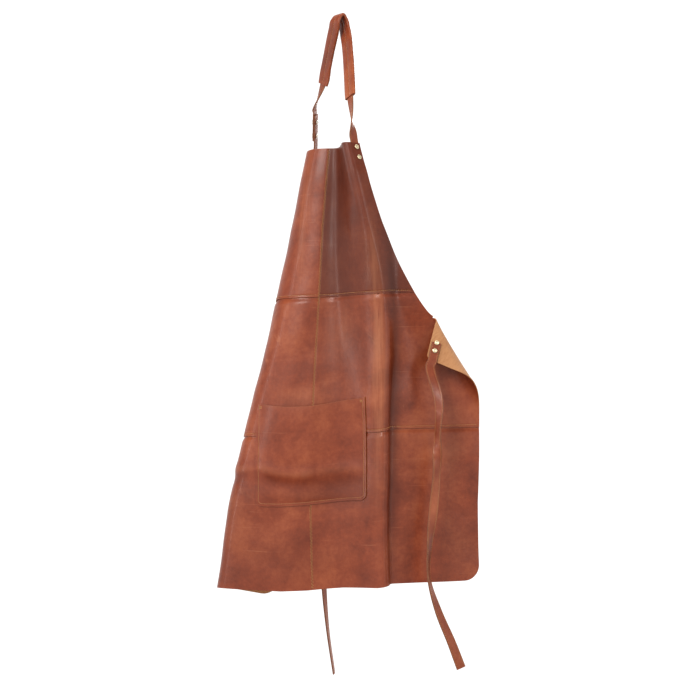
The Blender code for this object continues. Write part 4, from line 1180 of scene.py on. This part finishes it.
stack = 2 * STRAP_THICKNESS + FIT_GAP
half = stack / 2 + HEAD_GAP
for number, share_at in enumerate(STUD_SHARES):
    middle = Vector(bend + run * length * share_at + lie / 2)
    r, h = STUD_RADIUS, STUD_HEIGHT
    dome = [(r * math.sin(a), half + h * math.cos(a)) for a in np.radians(range(15, 91, 15))]
    cap = [(0.0, half + h)] + dome
    cap += [(r * 0.93, half - 0.0001), (0.0015, half), (0.0015, -half), (0.0, -half)]
    stud = f"press_stud_{number + 1}"
    turned_piece(stud + "_cap_metal", stud + "_cap", cap, middle, Vector(face), nickel, "neck_loop")
    d = STUD_SOCKET_DEPTH
    socket = [(0.0, -half - d * 0.5), (r * 0.28, -half - d * 0.5), (r * 0.34, -half - d * 0.96),
              (r * 0.46, -half - d), (r * 0.58, -half - d * 0.9), (r * 0.62, -half - d * 0.55),
              (r * 0.80, -half - d * 0.5), (r * 0.86, -half - d * 0.25), (r * 0.84, -half), (0.0, -half)]
    turned_piece(stud + "_socket_metal", stud + "_socket", socket, middle, Vector(face), nickel, "neck_loop")


# ---------------------------------------------------------------- studio

CAMERA_PLACE = (0.0135, -2.8, -0.6716)
camera = bpy.data.objects.new("camera", bpy.data.cameras.new("camera"))
bpy.context.scene.collection.objects.link(camera)
camera.location = CAMERA_PLACE
camera.rotation_euler = (math.radians(90), 0.0, 0.0)
camera.data.lens = 74.6
camera.data.sensor_width = 36.0
camera.data.shift_y = 15 / 700
bpy.context.scene.camera = camera


def soft_light(name, place, target, size, power, colour):
    data = bpy.data.lights.new(name, "AREA")
    data.shape = "RECTANGLE"
    data.size, data.size_y = size
    data.energy = power
    data.color = colour
    made = bpy.data.objects.new(name, data)
    bpy.context.scene.collection.objects.link(made)
    made.location = place
    made.rotation_euler = (Vector(target) - Vector(place)).to_track_quat("-Z", "Y").to_euler()
    return made


soft_light("main", (-1.5, -3.1, 1.3), (0.05, 0.0, -0.7), (1.3, 1.3), 72.0, (1.0, 0.99, 0.975))
soft_light("left_strip", (-2.3, -1.30, 0.0), (-0.1, 0.0, -0.55), (0.32, 2.0), 11.0, (1.0, 0.99, 0.98))
soft_light("right", (2.4, -2.4, 0.2), (0.1, 0.0, -0.7), (0.8, 1.6), 16.0, (1.0, 1.0, 1.0))
soft_light("top", (0.0, 0.4, 2.6), (0.0, 0.0, -0.7), (3.0, 3.0), 55.0, (1.0, 1.0, 1.0))
soft_light("back", (0.8, 2.8, 0.8), (0.0, 0.0, -0.7), (1.6, 1.4), 50.0, (1.0, 1.0, 1.0))

world = bpy.data.worlds.new("studio")
world.use_nodes = True
sky = world.node_tree
direction = sky.nodes.new("ShaderNodeTexCoord")
split = sky.nodes.new("ShaderNodeSeparateXYZ")
sky.links.new(direction.outputs["Generated"], split.inputs[0])
height = sky.nodes.new("ShaderNodeMath")
height.operation = "ABSOLUTE"
sky.links.new(split.outputs["Z"], height.inputs[0])
band = sky.nodes.new("ShaderNodeValToRGB")
band.color_ramp.elements[0].position = 0.255
band.color_ramp.elements[0].color = (0.98, 0.98, 0.98, 1.0)
band.color_ramp.elements[1].position = 0.50
band.color_ramp.elements[1].color = (0.26, 0.26, 0.26, 1.0)
sky.links.new(height.outputs[0], band.inputs["Fac"])
sky.links.new(band.outputs["Color"], sky.nodes["Background"].inputs["Color"])
bpy.context.scene.world = world
bpy.context.scene.view_settings.view_transform = "Standard"
bpy.context.scene.view_settings.look = "Medium High Contrast"
